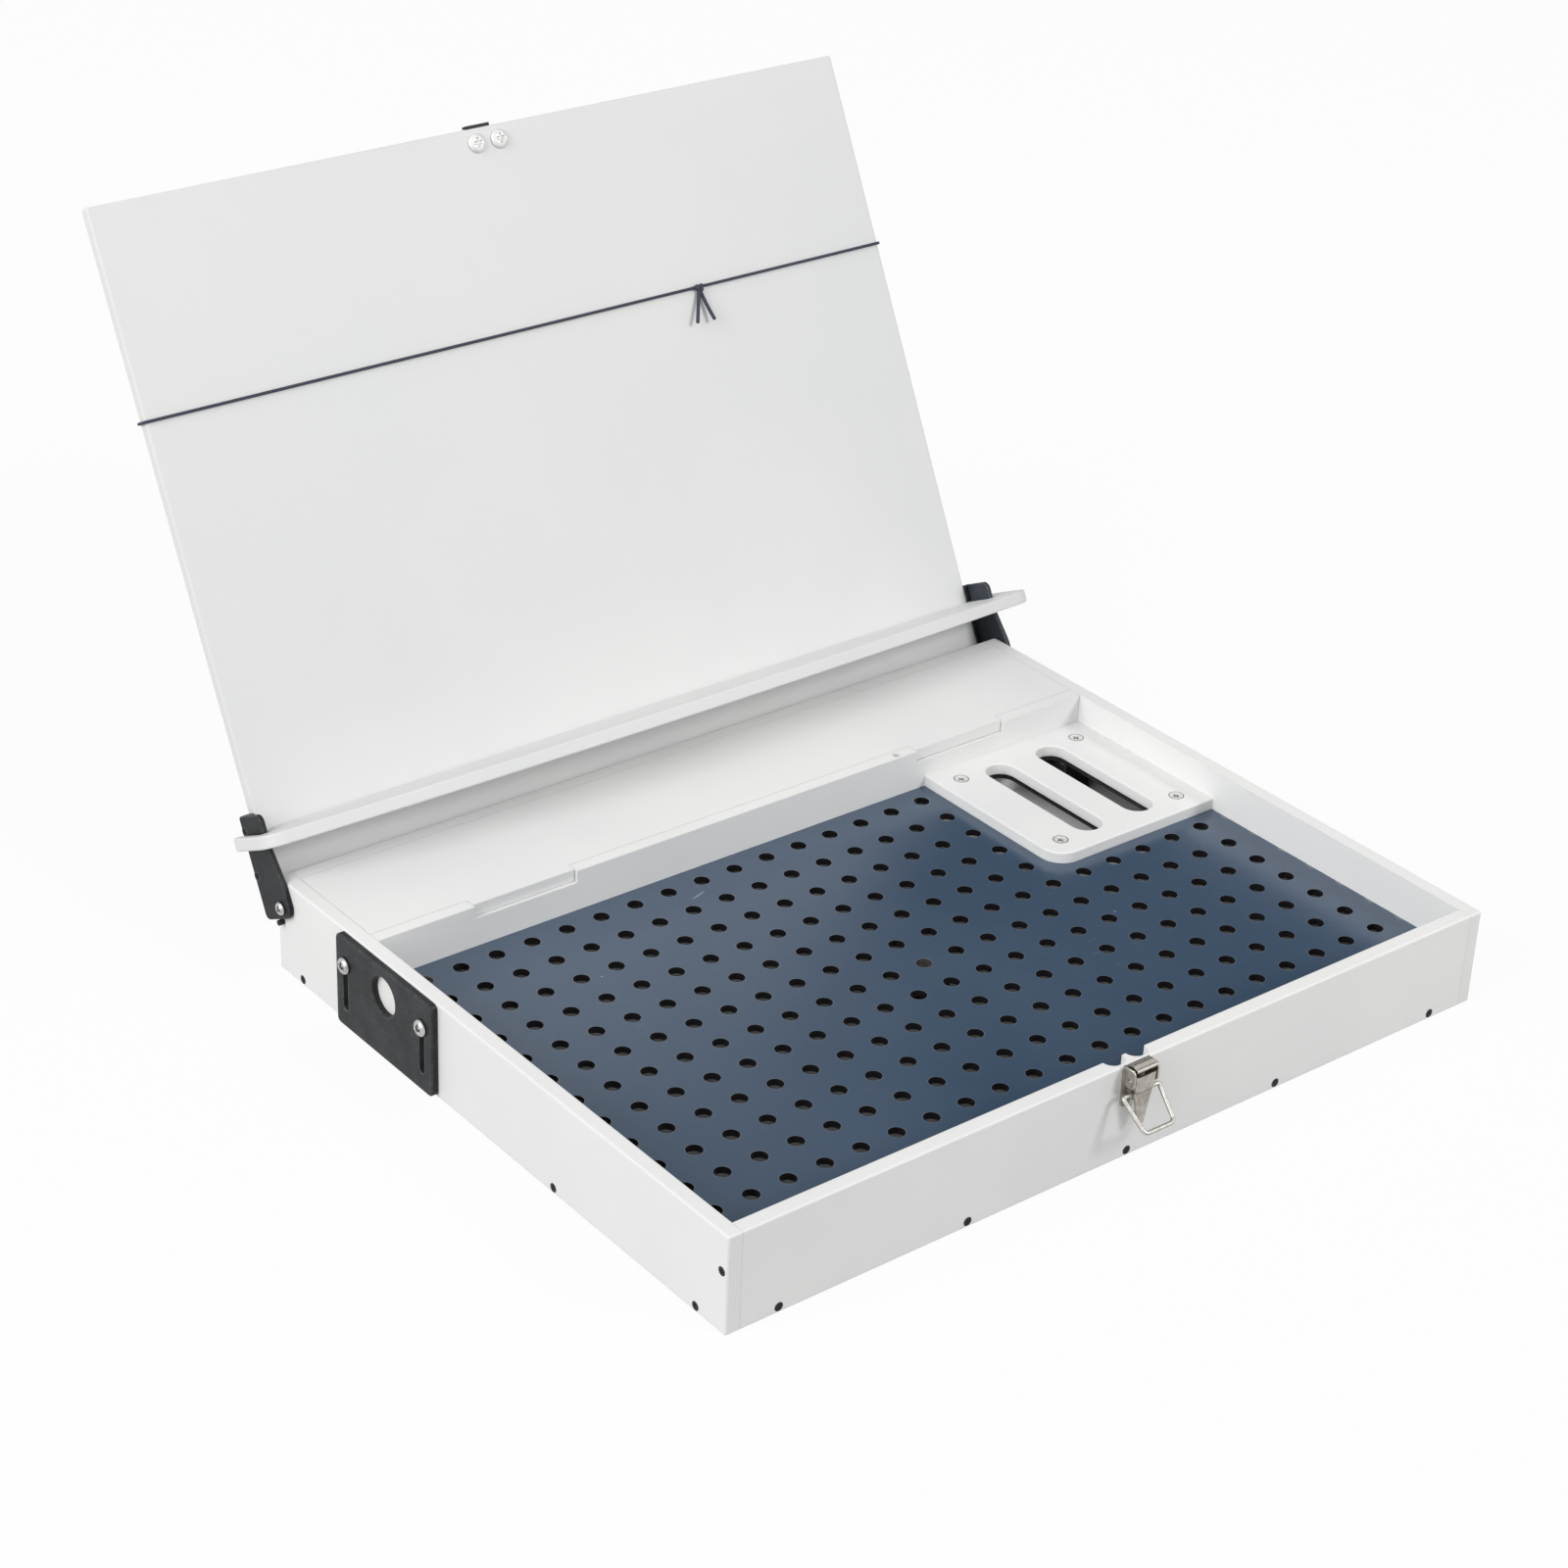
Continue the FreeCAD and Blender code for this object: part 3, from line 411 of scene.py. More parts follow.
def metal(name):
    # plated or blackened metal: fine polishing lines, a dull bloom in patches, grime and painted shade in pressed
    # recesses
    colour, dull, roughness, lines, metallic, specular = metals[name]
    material, tree, shader, place = makeMaterial(name)
    rub = useGroup(tree, scuffs, {"Vector": place, "Stretch": lines, "Patch": metalSet.patch})
    bloom = noise(tree, place, metalSet.bloom, 4.0)
    tone = blendColours(tree, ramp(tree, bloom, *metalSet.dullSpan), colour, dull)
    # the mesh's marks: grime and painted shade in screw recesses, painted shadow below the lever's step
    dirt = addNode(tree, "Attribute", attribute_name="dirt")["Fac"]
    tone = blendColours(tree, times(tree, dirt, metalSet.grimeShare), tone, metalSet.grime)
    rough = ramp(tree, bloom, *metalSet.roughSpan, roughness, roughness + metalSet.dullRoughness)
    rough = calc(tree, "ADD", rough, times(tree, rub["Mask"], metalSet.scuffRoughness))
    fine = noise(tree, stretched(tree, place, lines), metalSet.lineScale)
    feed(tree, shader, {
        "Base Color": tone,
        "Roughness": rough,
        "Normal": bump(tree, fine, *metalSet.relief),
        "Metallic": metallic,
        "Specular IOR Level": specular})
    return material


bareWood = Settings(
    early=(0.56, 0.42, 0.26, 1),
    late=(0.42, 0.29, 0.16, 1),
    warp=(12, 160, 160),
    rings=60.0,
    ringSpan=(-0.4, 0.9),
    fibre=(60, 1500, 1500),
    roughness=(0.62, 0.78),
    relief=(0.0001, 0.5),
)


def plainWood():
    # sawn softwood: growth rings as warped bands along X
    material, tree, shader, place = makeMaterial("plainWood")
    warp = noise(tree, stretched(tree, place, bareWood.warp), 1.0, 4.0)
    rings = calc(tree, "SINE", times(tree, warp, bareWood.rings))
    bands = ramp(tree, rings, *bareWood.ringSpan)
    colour = blendColours(tree, bands, bareWood.early, bareWood.late)
    fibre = noise(tree, stretched(tree, place, bareWood.fibre), 1.0, 3.0)
    feed(tree, shader, {
        "Base Color": colour,
        "Roughness": ramp(tree, fibre, *roughSpan, *bareWood.roughness),
        "Normal": bump(tree, fibre, *bareWood.relief)})
    return material


elasticBraid = Settings(
    navy=(0.014, 0.017, 0.034, 1),
    pale=(0.050, 0.055, 0.088, 1),
    strands=8.0,
    pitch=0.0022,
    roughness=0.75,
    sheen=0.08,
    relief=(0.0002, 0.6),
)


def elastic():
    # two sets of strands winding opposite ways round the cord, read from its own map
    material, tree, shader, _ = makeMaterial("elastic")
    spread = parted(tree, addNode(tree, "UVMap")[0])
    along = times(tree, spread[0], 2 * np.pi / elasticBraid.pitch)
    around = times(tree, spread[1], np.pi * elasticBraid.strands)
    left = calc(tree, "SINE", calc(tree, "ADD", along, around))
    right = calc(tree, "SINE", calc(tree, "SUBTRACT", along, around))
    weave = calc(tree, "MAXIMUM", left, right)
    colour = blendColours(tree, ramp(tree, weave, 0.0, 1.0), elasticBraid.navy, elasticBraid.pale)
    feed(tree, shader, {
        "Base Color": colour,
        "Roughness": elasticBraid.roughness,
        "Normal": bump(tree, weave, *elasticBraid.relief),
        "Sheen Weight": elasticBraid.sheen})
    return material


acrossGrain, deepGrain = (14, 420, 420), (420, 14, 420)   # grain along X or along Y
boardDeep = whiteBoard("whiteBoardDeep", whitePaint.box, deepGrain, plyAxis=0)
# lid and plan ledge: the same white paint made darker, painted shade
boardLidPaintedShade = whiteBoard("whiteBoardLid", whitePaint.lid, acrossGrain)
finishes = {
    "white_board": whiteBoard("whiteBoardAcross", whitePaint.box, acrossGrain),
    "blue_board": blueBoard(),
    "plain_wood": plainWood(),
    "black_steel": metal("blackSteel"),
    "black_plastic": blackPlastic("blackPlastic", blackMould.arms),
    "bright_steel": metal("brightSteel"),
    "nickel": metal("nickel"),
    "brass": metal("brass"),
    "elastic": elastic(),
}
paleSteel = metal("paleSteel")
wireNickel = metal("nickelWire")
ownFinish = {
    "left_wall": boardDeep,
    "right_wall": boardDeep,
    "corner_plate": boardDeep,
    "side_stop_plate": blackPlastic("blackPlasticRubbed", blackMould.stop),
    # lighter, bluer tones for the right arm: painted light
    "right_arm": blackPlastic("blackPlasticBluish", blackMould.farArm),
    # painted shade: darker white on the lid and the plan ledge
    "lid_panel": boardLidPaintedShade,
    "plan_ledge": boardLidPaintedShade,
}
slotOf = {part["node"]: part["material_slot"] for part in frame["record"]["subparts"]}
for name, piece in nodes.items():
    piece.data.materials.clear()
    piece.data.materials.append(ownFinish.get(name, finishes[slotOf[name]]))
print("finishes:", len(finishes), "slots and", len(ownFinish), "own finishes on", len(nodes), "nodes")

# surfaces


def turnOutward(grid):
    # reverses the columns where the surface would face inwards
    a, b, d = grid[:-1], np.roll(grid[:-1], -1, 1), grid[1:]
    a, b, d = a[..., :3], b[..., :3], d[..., :3]
    volume = (np.cross(b - a, d - a) * (a - a.mean((0, 1)))).sum()
    return grid if volume > 0 else grid[:, ::-1]


def meshFromGrids(name, grids, material, ends="fan"):
    # each grid is rows by columns of points: columns close round, and rows end in fans or ribbons,
    # or close as a loop; a fourth value on the points is kept as an attribute for grime and painted shade
    grids = np.stack([turnOutward(np.asarray(grid, float)) for grid in grids])
    count, rows, columns, _ = grids.shape
    dirt = grids[..., 3:]
    grids = grids[..., :3]
    points = [grids.reshape(-1, 3)]
    step = rows * columns
    i, j = np.meshgrid(np.arange(rows if ends == "loop" else rows - 1), np.arange(columns), indexing="ij")
    below, beside = (i + 1) % rows, (j + 1) % columns
    upper, lower = i * columns, below * columns
    quads = np.stack([upper + j, upper + beside, lower + beside, lower + j], -1)
    starts = np.arange(count) * step
    faces = (quads.reshape(1, -1, 4) + starts[:, None, None]).reshape(-1, 4).tolist()
    # u runs along the rows by distance, v once round the columns
    middles = grids.mean(2)
    runs = np.linalg.norm(np.diff(middles, axis=1, append=middles[:, :1]), axis=2)
    along = np.concatenate([np.zeros((count, 1)), np.cumsum(runs, 1)], 1)
    u = np.stack([along[:, i], along[:, i], along[:, i + 1], along[:, i + 1]], -1).reshape(-1)
    v = np.broadcast_to(np.stack([j, j + 1, j + 1, j], -1) / columns, (count, *i.shape, 4)).reshape(-1)
    maps = [np.stack([u, v], 1)]
    ring = np.arange(columns)
    if ends == "fan":
        points.append(grids[:, [0, -1]].mean(2).reshape(-1, 3))
        for end, row in ((0, 0), (1, rows - 1)):
            pole = np.repeat(count * step + np.arange(count) * 2 + end, columns)
            first = (row * columns + ring + starts[:, None]).reshape(-1)
            second = (row * columns + (ring + 1) % columns + starts[:, None]).reshape(-1)
            faces += np.stack([pole, second, first] if end == 0 else [pole, first, second], 1).tolist()
            maps.append(np.repeat(np.stack([along[:, row], np.full(count, 0.5)], 1), 3 * columns, 0))
    if ends == "ribbon":
        half = np.arange(columns // 2 - 1)
        strip = np.stack([half, columns - 1 - half, columns - 2 - half, half + 1], 1)
        for row, way in ((0, 1), (rows - 1, -1)):
            faces += (strip[None, :, ::way] + row * columns + starts[:, None, None]).reshape(-1, 4).tolist()
            maps.append(np.repeat(np.stack([along[:, row], np.full(count, 0.5)], 1), 4 * len(half), 0))
    mesh = bpy.data.meshes.new(name)
    mesh.from_pydata(np.concatenate(points).tolist(), [], faces)
    mesh.uv_layers.new(name="UVMap").data.foreach_set("uv", np.concatenate(maps).astype(np.float32).ravel())
    mesh.polygons.foreach_set("use_smooth", np.ones(len(mesh.polygons), bool))
    if dirt.size:
        marks = np.zeros(len(mesh.vertices), np.float32)
        marks[:dirt.size] = dirt.ravel()
        mesh.attributes.new("dirt", "FLOAT", "POINT").data.foreach_set("value", marks)
    mesh.materials.append(material)
    piece = bpy.data.objects.new(name, mesh)
    scene.collection.objects.link(piece)
    return piece


def softenEdges(piece, width):
    # small bevel on every fold sharper than the angle
    edge = piece.modifiers.new("softEdges", "BEVEL")
    edge.width = width
    edge.segments = 2
    edge.limit_method = "ANGLE"
    edge.angle_limit = np.radians(40)
    edge.harden_normals = True


def tube(path, across, radius, sides, closed=False):
    # circle carried along a path: across is one vector, or one for each point, aside of the path
    path = np.asarray(path, float)
    ahead = np.roll(path, -1, 0) - np.roll(path, 1, 0) if closed else np.gradient(path, axis=0)
    ahead /= np.linalg.norm(ahead, axis=1, keepdims=True)
    first = np.broadcast_to(np.asarray(across, float), path.shape)
    first = first - ahead * (first * ahead).sum(1, keepdims=True)
    first /= np.linalg.norm(first, axis=1, keepdims=True)
    second = np.cross(ahead, first)
    angle = np.linspace(0, 2 * np.pi, sides, endpoint=False)
    wide = np.broadcast_to(np.asarray(radius, float).reshape(-1, 1, 1), (len(path), sides, 1))
    ring = first[:, None] * np.cos(angle)[None, :, None] + second[:, None] * np.sin(angle)[None, :, None]
    return path[:, None] + wide * ring


# lid frame, read from the lid's own points


def corners(node):
    # all points of a CAD node's mesh
    flat = np.zeros(len(nodes[node].data.vertices) * 3, np.float32)
    nodes[node].data.vertices.foreach_get("co", flat)
    return flat.reshape(-1, 3).astype(float)


def jointPlace(name):
    return np.array(next(j for j in frame["joints"] if j["name"] == name)["pos_m"])


lidPoints = corners("lid_panel")
pivot = jointPlace("lid_hinge")
lidUp = np.linalg.svd((lidPoints - lidPoints.mean(0))[:, 1:], full_matrices=False)[2][0]
lidUp = np.array([0, *(lidUp * np.sign(lidUp[1]))])
lidOut = np.cross(lidUp, (1, 0, 0))
lidOut *= -np.sign(lidOut[1])   # towards the front


def lidSpan(points):
    # distances along the lid from its pivot, and square to it towards the front
    return (points - pivot) @ lidUp, (points - pivot) @ lidOut


def onLid(x, along, out):
    x, along, out = np.broadcast_arrays(x, along, out)
    return pivot + x[..., None] * np.array([1, 0, 0]) + along[..., None] * lidUp + out[..., None] * lidOut


# screws, each read from its CAD solid and given a turned head with a pressed cross

screwSet = Settings(
    outside=0.95,   # share of the head's radius beyond which points belong to its rim
    tipReach=0.0005,
    faceRows=(0.04, 0.8, 26),   # rows on the head's face, in head radii
    rimRows=(0.93, np.pi / 2, 12),   # angles whose sines give the rows towards the rim
    crossHalf=(0.1275, 0.2025),   # half width of a bar at its floor and at the face, in head radii
    crossEnd=0.25,
    sunkBelow=0.001,   # a head lower than this is sunk in a cone
    sunkShare=0.8,
    leastHeight=0.00018,
    tipLength=0.0006,
    tipShare=0.7,
)
# grime share in each style: grime with painted shade in the cross, at the rim and down the shank
screwStyles = {
    "pan": {"bulge": 2.4, "reach": 0.60, "depth": 0.62, "grime": 1.0, "rimFrom": 0.99, "sides": 64},
    "faint": {"bulge": 2.4, "reach": 0.55, "depth": 0.35, "grime": 0.3, "rimFrom": 0.99, "sides": 64},
    "flush": {"bulge": 14.0, "reach": 0.62, "depth": 0.65, "grime": 1.0, "rimFrom": 0.88, "sides": 48},
}


def separateSolids(node):
    # labels spread over shared corners until they settle, one label for each solid
    mesh = nodes[node].data
    points = corners(node)
    same = np.unique(np.round(points, 6), axis=0, return_inverse=True)[1].ravel()
    faces = np.zeros(len(mesh.polygons) * 3, np.int32)
    mesh.polygons.foreach_get("vertices", faces)
    faces = same[faces].reshape(-1, 3)
    label = np.arange(same.max() + 1)
    settled = False
    while not settled:
        fresh = label.copy()
        np.minimum.at(fresh, faces, np.repeat(label[faces].min(1)[:, None], 3, 1))
        settled = (fresh == label).all()
        label = fresh
    owner = label[same]
    return [points[owner == k] for k in np.unique(owner)]


def screwFacts(points, axis):
    # head's top centre, driving direction and sizes of one screw along a known line
    axis = np.asarray(axis, float)
    depth = points @ axis
    side = np.cross(axis, (0, 0, 1) if abs(axis[2]) < 0.9 else (1, 0, 0))
    side /= np.linalg.norm(side)
    other = np.cross(axis, side)
    flat = np.stack([points @ side, points @ other], 1)
    centre = (flat.min(0) + flat.max(0)) / 2
    far = np.linalg.norm(flat - centre, axis=1)
    wide = far.max()
    outside = far > screwSet.outside * wide
    if depth[outside].mean() > (depth.min() + depth.max()) / 2:
        axis, depth = -axis, -depth
    top = centre[0] * side + centre[1] * other + depth.min() * axis
    rimDepth = depth[outside].max() - depth.min()
    tip = far[depth > depth.max() - screwSet.tipReach].max()
    return {"top": top, "inward": axis, "side": side, "head": wide, "height": rimDepth, "shank": tip,
            "length": depth.max() - depth.min()}


def screwGrid(facts, style):
    # rows run from the head's middle over its dome to the rim, under it and down the shank
    # dome: depth = height x (1 - (1 - (r/R)^bulge)^(1/bulge)); cross: two soft-edged bars pressed in
    head, shank, length = facts["head"], facts["shank"], facts["length"]
    height = max(facts["height"], screwSet.leastHeight)
    share = np.concatenate([np.linspace(*screwSet.faceRows), np.sin(np.linspace(*screwSet.rimRows))])
    dome = height * (1 - np.clip(1 - share ** style["bulge"], 0, 1) ** (1 / style["bulge"]))
    turn = np.linspace(0, 2 * np.pi, style["sides"], endpoint=False)
    x = share[:, None] * np.cos(turn)
    y = share[:, None] * np.sin(turn)
    floor, brink = screwSet.crossHalf

    def bar(a, b):
        across = np.clip((brink - np.abs(a)) / (brink - floor), 0, 1)
        return across * np.clip((1 - np.abs(b) / style["reach"]) / screwSet.crossEnd, 0, 1)

    cross = np.maximum(bar(x, y), bar(y, x))
    press = style["depth"] * max(facts["height"], (head - shank) * screwSet.sunkShare) * cross
    neck = height if facts["height"] > screwSet.sunkBelow else height + head - shank
    under = np.linspace(1, 0, 4)[1:]
    tip = shank * screwSet.tipShare
    radius = np.concatenate([share * head, shank + under * (head - shank), [shank, tip]])
    depth = np.concatenate([dome, neck + under * (height - neck), [length - screwSet.tipLength, length]])
    depth = np.repeat(depth[:, None], len(turn), 1)
    depth[:len(share)] += press
    other = np.cross(facts["inward"], facts["side"])
    ring = np.cos(turn)[:, None] * facts["side"] + np.sin(turn)[:, None] * other
    # grime with painted shade in the cross recess, at the rim and down the shank
    dirt = np.full(depth.shape, style["grime"])
    dirt[:len(share)] *= np.maximum(cross, share[:, None] > style["rimFrom"])
    points = facts["top"] + radius[:, None, None] * ring + depth[:, :, None] * facts["inward"]
    return np.concatenate([points, dirt[:, :, None]], 2)


def addScrews(name, node, axis, style, body, finish=None):
    grids = [screwGrid(screwFacts(points, axis), screwStyles[style]) for points in separateSolids(node)]
    piece = meshFromGrids(name, grids, finish or finishes[slotOf[node]])
    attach(piece, body)
    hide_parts(node)
    return len(grids)


screwGroups = (
    ("frontWallScrews", "front_wall_screws", (0, 1, 0), "flush", "box"),
    ("backWallScrews", "back_wall_screws", (0, 1, 0), "flush", "box"),
    ("leftWallScrews", "left_wall_screws", (1, 0, 0), "flush", "box"),
    ("rightWallScrews", "right_wall_screws", (1, 0, 0), "flush", "box"),
    ("cornerScrews", "corner_screws", (1, 0, 0), "flush", "box"),
    ("workPlateScrews", "work_plate_screws", (0, 0, 1), "flush", "box"),
    ("cornerPlateScrews", "corner_plate_screws", (0, 0, 1), "flush", "box", paleSteel),
    ("armScrews", "arm_screws", (1, 0, 0), "flush", "lid"),
    ("sideStopScrews", "side_stop_screws", (1, 0, 0), "pan", "box"),
    ("pivotScrews", "pivot_screws", (1, 0, 0), "pan", "box"),
    ("keeperScrews", "keeper_screws", tuple(lidOut), "faint", "lid", paleSteel),
)
print("screws:", sum(addScrews(*group) for group in screwGroups))

# draw latch: bent sheet and wire

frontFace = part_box("front_wall")[0].y
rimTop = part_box("front_wall")[1].z


def onFront(x, out, height):
    # x, distance out of the front face and height, as points
    x, out, height = np.broadcast_arrays(x, out, height)
    return np.stack([x, frontFace - out, height], -1)


def smooth(value):
    # smooth step from 0 to 1: 3v^2 - 2v^3
    value = np.clip(value, 0, 1)
    return value * value * (3 - 2 * value)


def roundedPath(spots, radii, steps):
    # straight runs between spots, each inner corner replaced by a circular arc of its own radius
    spots = np.asarray(spots, float)
    runs = [spots[:1]]
    for before, here, after, radius in zip(spots[:-2], spots[1:-1], spots[2:], radii):
        back, ahead = before - here, after - here
        back /= np.linalg.norm(back)
        ahead /= np.linalg.norm(ahead)
        half = np.arccos(np.clip(back @ ahead, -1, 1)) / 2
        middle = (back + ahead) / np.linalg.norm(back + ahead)
        across = (ahead - back) / np.linalg.norm(ahead - back)
        centre = here + middle * radius / np.sin(half)
        swing = np.linspace(-(np.pi / 2 - half), np.pi / 2 - half, steps)[:, None]
        runs.append(centre - radius * np.cos(swing) * middle + radius * np.sin(swing) * across)
    runs.append(spots[-1:])
    return np.concatenate(runs)


def sheetAlong(path, half, thickness, place, columns=9):
    # flat strip of a given half width carried along a path of (out, height), thickened along its normal
    ahead = np.gradient(path, axis=0)
    ahead /= np.linalg.norm(ahead, axis=1, keepdims=True)
    normal = np.stack([ahead[:, 1], -ahead[:, 0]], 1) * thickness / 2
    x = half[:, None] * np.linspace(-1, 1, columns)
    front, back = (path + way * normal for way in (1, -1))
    front, back = place(x, front[:, :1], front[:, 1:]), place(x, back[:, :1], back[:, 1:])
    return np.concatenate([front, back[:, ::-1]], 1)


baseSet = Settings(
    sheet=0.0009,
    bend=0.0016,
    curl=0.00055,
    curlTurn=1.15 * np.pi,
    hoodHalf=0.0060,
    hoodArch=0.0011,
    hoodEase=0.0016,
    footRound=0.0022,
    footShare=0.95,
    soft=0.00018,
    earSheet=0.0010,
    earRound=0.0030,
    earRoot=0.00054,
    earBrow=(0.0018, 0.0016),
    earRim=((0.86, 0.0), (0.96, 0.04), (1.0, 0.16), (1.0, 0.84), (0.96, 0.96), (0.86, 1.0)),
    rows=(40, 9, 16, 14),   # on the plate, its fold, the hood and the curl
)


def drawLatchBase():
    # back plate, bent forward into a narrower hood that ends in a small curl
    low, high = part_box("latch_base")
    sheet, bend, curl, arch = baseSet.sheet, baseSet.bend, baseSet.curl, baseSet.hoodArch
    top = high.z - sheet / 2 - arch
    plateRows, foldRows, hoodRows, curlRows = baseSet.rows
    quarter = np.linspace(0, np.pi / 2, foldRows)
    upright = np.stack([np.full(plateRows, sheet / 2), np.linspace(low.z, top - bend, plateRows)], 1)
    fold = np.stack([sheet / 2 + bend * (1 - np.cos(quarter)), top - bend + bend * np.sin(quarter)], 1)[1:]
    run = np.linspace(0, 1, hoodRows)
    level = top + arch * (1 - np.cos(2 * np.pi * run)) / 2
    reach = frontFace - low.y - curl - sheet - bend
    roof = np.stack([sheet / 2 + bend + run * reach, level], 1)[1:]
    turn = np.linspace(0, baseSet.curlTurn, curlRows)[1:]
    hook = np.stack([roof[-1, 0] + curl * np.sin(turn), top - curl * (1 - np.cos(turn))], 1)
    path = np.concatenate([upright, fold, roof, hook])
    inHood = np.arange(len(path)) >= len(upright)
    narrow = np.where(inHood, 1.0, smooth((path[:, 1] - rimTop) / baseSet.hoodEase + 1))
    half = high.x + narrow * (baseSet.hoodHalf - high.x)
    foot = np.clip(1 - (path[:, 1] - low.z) / baseSet.footRound, 0, 1) * ~inHood
    half = half - baseSet.footRound * baseSet.footShare * (1 - np.sqrt(1 - foot ** 2))
    strip = sheetAlong(path, half, sheet, onFront)
    plate = meshFromGrids("latchBase", [strip], finishes["nickel"], ends="ribbon")
    softenEdges(plate, baseSet.soft)
    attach(plate, "box")
    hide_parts("latch_base")
    drawLatchEars(high.x, top)


def drawLatchEars(halfWidth, top):
    # ears for the pin: plates round below it and straight up to the hood, carried through their
    # thickness with a small rounding, given as pairs of spread and depth
    pin = jointPlace("lever_swing")
    pinOut = frontFace - pin[1]
    radius, root = baseSet.earRound, baseSet.earRoot
    browOut, browDown = baseSet.earBrow
    swing = np.linspace(-np.pi / 2, 0, 15)
    below = np.stack([pinOut + radius * np.cos(swing), pin[2] + radius * np.sin(swing)], 1)
    above = [(pinOut + radius, top - browDown), (pinOut + browOut, top), (root, top)]
    edge = np.concatenate([[(root, pin[2] - radius)], below, above])
    middle = edge.mean(0)
    wide, level = np.array(baseSet.earRim).T
    level = level * baseSet.earSheet
    spread = middle + wide[:, None, None] * (edge - middle)
    ears = [onFront(side * (halfWidth - level)[:, None], spread[..., 0], spread[..., 1]) for side in (-1, 1)]
    pair = meshFromGrids("latchEars", ears, finishes["nickel"])
    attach(pair, "box")


leverSet = Settings(
    sheet=0.0008,
    soft=0.00015,
    tipHalf=0.00135,
    tipRound=0.0013,
    tipLeast=0.06,
    tipFlare=0.0020,
    flareLeast=0.25,
    tipLength=0.0015,
    rows=(8, 110),   # on the tip and above it
    section=(7, 8, 8),   # points on a cheek, a fold and half the face
    shoulderUp=0.0180,
    shoulderHalf=0.0051,
    topHalf=0.0058,
    topCut=0.0008,
    crown=0.0025,
    crownDepth=0.55,
    foldRadius=0.0011,
    foldShare=0.6,
    leastDepth=(0.0002, 0.0003),
    cheekDepth=0.0046,
    cheekBelow=0.0042,
    cheekRun=0.0026,
    lipDepth=0.0007,
    tongueBack=0.0006,
    tongueRun=0.0007,
    swingGap=0.0004,
    # painted shadow below the lever's step: its strength, how far below the step and how wide
    dirt=0.75,
    dirtBelow=0.0006,
    dirtSpread=0.00045,
)


def drawLatchLever():
    # channel section carried up the lever: a face between two folded cheeks, narrowing to a tongue
    low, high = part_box("latch_lever")
    tall = high.z - low.z - leverSet.topCut
    sheet, shoulder, lip = leverSet.sheet, leverSet.shoulderUp, leverSet.lipDepth
    tipRows, rows = leverSet.rows
    t = np.concatenate([leverSet.tipLength * np.linspace(0, 1, tipRows)[:-1] ** 2,
                        np.linspace(leverSet.tipLength, tall, rows)])
    halves = [leverSet.tipHalf, leverSet.shoulderHalf, leverSet.topHalf]
    half = np.interp(t, [0.0, shoulder, tall], halves)
    tip = np.clip(1 - t / leverSet.tipRound, 0, 1)
    half = half * np.sqrt(np.clip(1 - tip ** 2, leverSet.tipLeast, 1))
    crown = np.clip((tall - t) / leverSet.crown, 0, 1)
    rounding = np.sqrt(1 - (1 - crown) ** 2)
    step = smooth((t - shoulder + leverSet.cheekBelow) / leverSet.cheekRun)
    deep = lip + (leverSet.cheekDepth - lip) * step
    deep = deep * (leverSet.crownDepth + (1 - leverSet.crownDepth) * rounding)
    deep = deep * np.clip(t / leverSet.tipFlare, leverSet.flareLeast, 1)
    fold = np.minimum(leverSet.foldRadius, leverSet.foldShare * half)
    front = frontFace - low.y - sheet / 2
    front = front - leverSet.tongueBack * smooth((shoulder - t) / leverSet.tongueRun)
    # above the pin the cheeks stay inside a circle that clears the back plate as the lever swings
    pin = jointPlace("lever_swing")
    pinOut = frontFace - pin[1]
    room = pinOut - baseSet.sheet - leverSet.swingGap
    rise = np.clip(low.z + t - pin[2], 0, room)
    least, leastRoom = leverSet.leastDepth
    most = np.maximum(front - fold - pinOut + np.sqrt(room ** 2 - rise ** 2), leastRoom)
    deep = np.clip(deep, least, most)
    # right half of the section from the cheek's back edge to the face's middle, mirrored for the left half
    cheekRows, foldRows, faceRows = leverSet.section
    run = np.linspace(0, 1, cheekRows)
    swing = np.linspace(0, np.pi / 2, foldRows)[1:-1]
    half, fold, deep, front = (values[:, None] for values in (half, fold, deep, front))
    x = np.concatenate([half + 0 * run, half - fold * (1 - np.cos(swing)),
                        (half - fold) * np.linspace(1, 0, faceRows)], 1)
    out = np.concatenate([front - fold - deep * (1 - run), front - fold + fold * np.sin(swing),
                          np.repeat(front, faceRows, 1)], 1)
    nx = np.concatenate([np.ones(cheekRows), np.cos(swing), np.zeros(faceRows)])
    no = np.concatenate([np.zeros(cheekRows), np.sin(swing), np.ones(faceRows)])
    x, out = np.concatenate([x, -x[:, -2::-1]], 1), np.concatenate([out, out[:, -2::-1]], 1)
    nx, no = np.concatenate([nx, -nx[-2::-1]]), np.concatenate([no, no[-2::-1]])
    outside, inside = (onFront(x + way * nx * sheet / 2, out + way * no * sheet / 2, (low.z + t)[:, None])
                       for way in (1, -1))
    grid = np.concatenate([outside, inside[:, ::-1]], 1)
    # painted shadow below the step: a narrow bell curve of height
    dirt = np.exp(-((t - shoulder + leverSet.dirtBelow) / leverSet.dirtSpread) ** 2) * leverSet.dirt
    grid = np.concatenate([grid, np.repeat(dirt[:, None, None], grid.shape[1], 1)], 2)
    lever = meshFromGrids("latchLever", [grid], finishes["nickel"], ends="ribbon")
    softenEdges(lever, leverSet.soft)
    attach(lever, "lever")
    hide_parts("latch_lever")


bailSet = Settings(
    wire=0.0011,
    bends=(0.0013, 0.0030, 0.0026, 0.0013),
    hookEnd=0.0034,
    topHalf=0.0109,
    footHalf=0.0089,
    steps=12,
    sides=20,
)


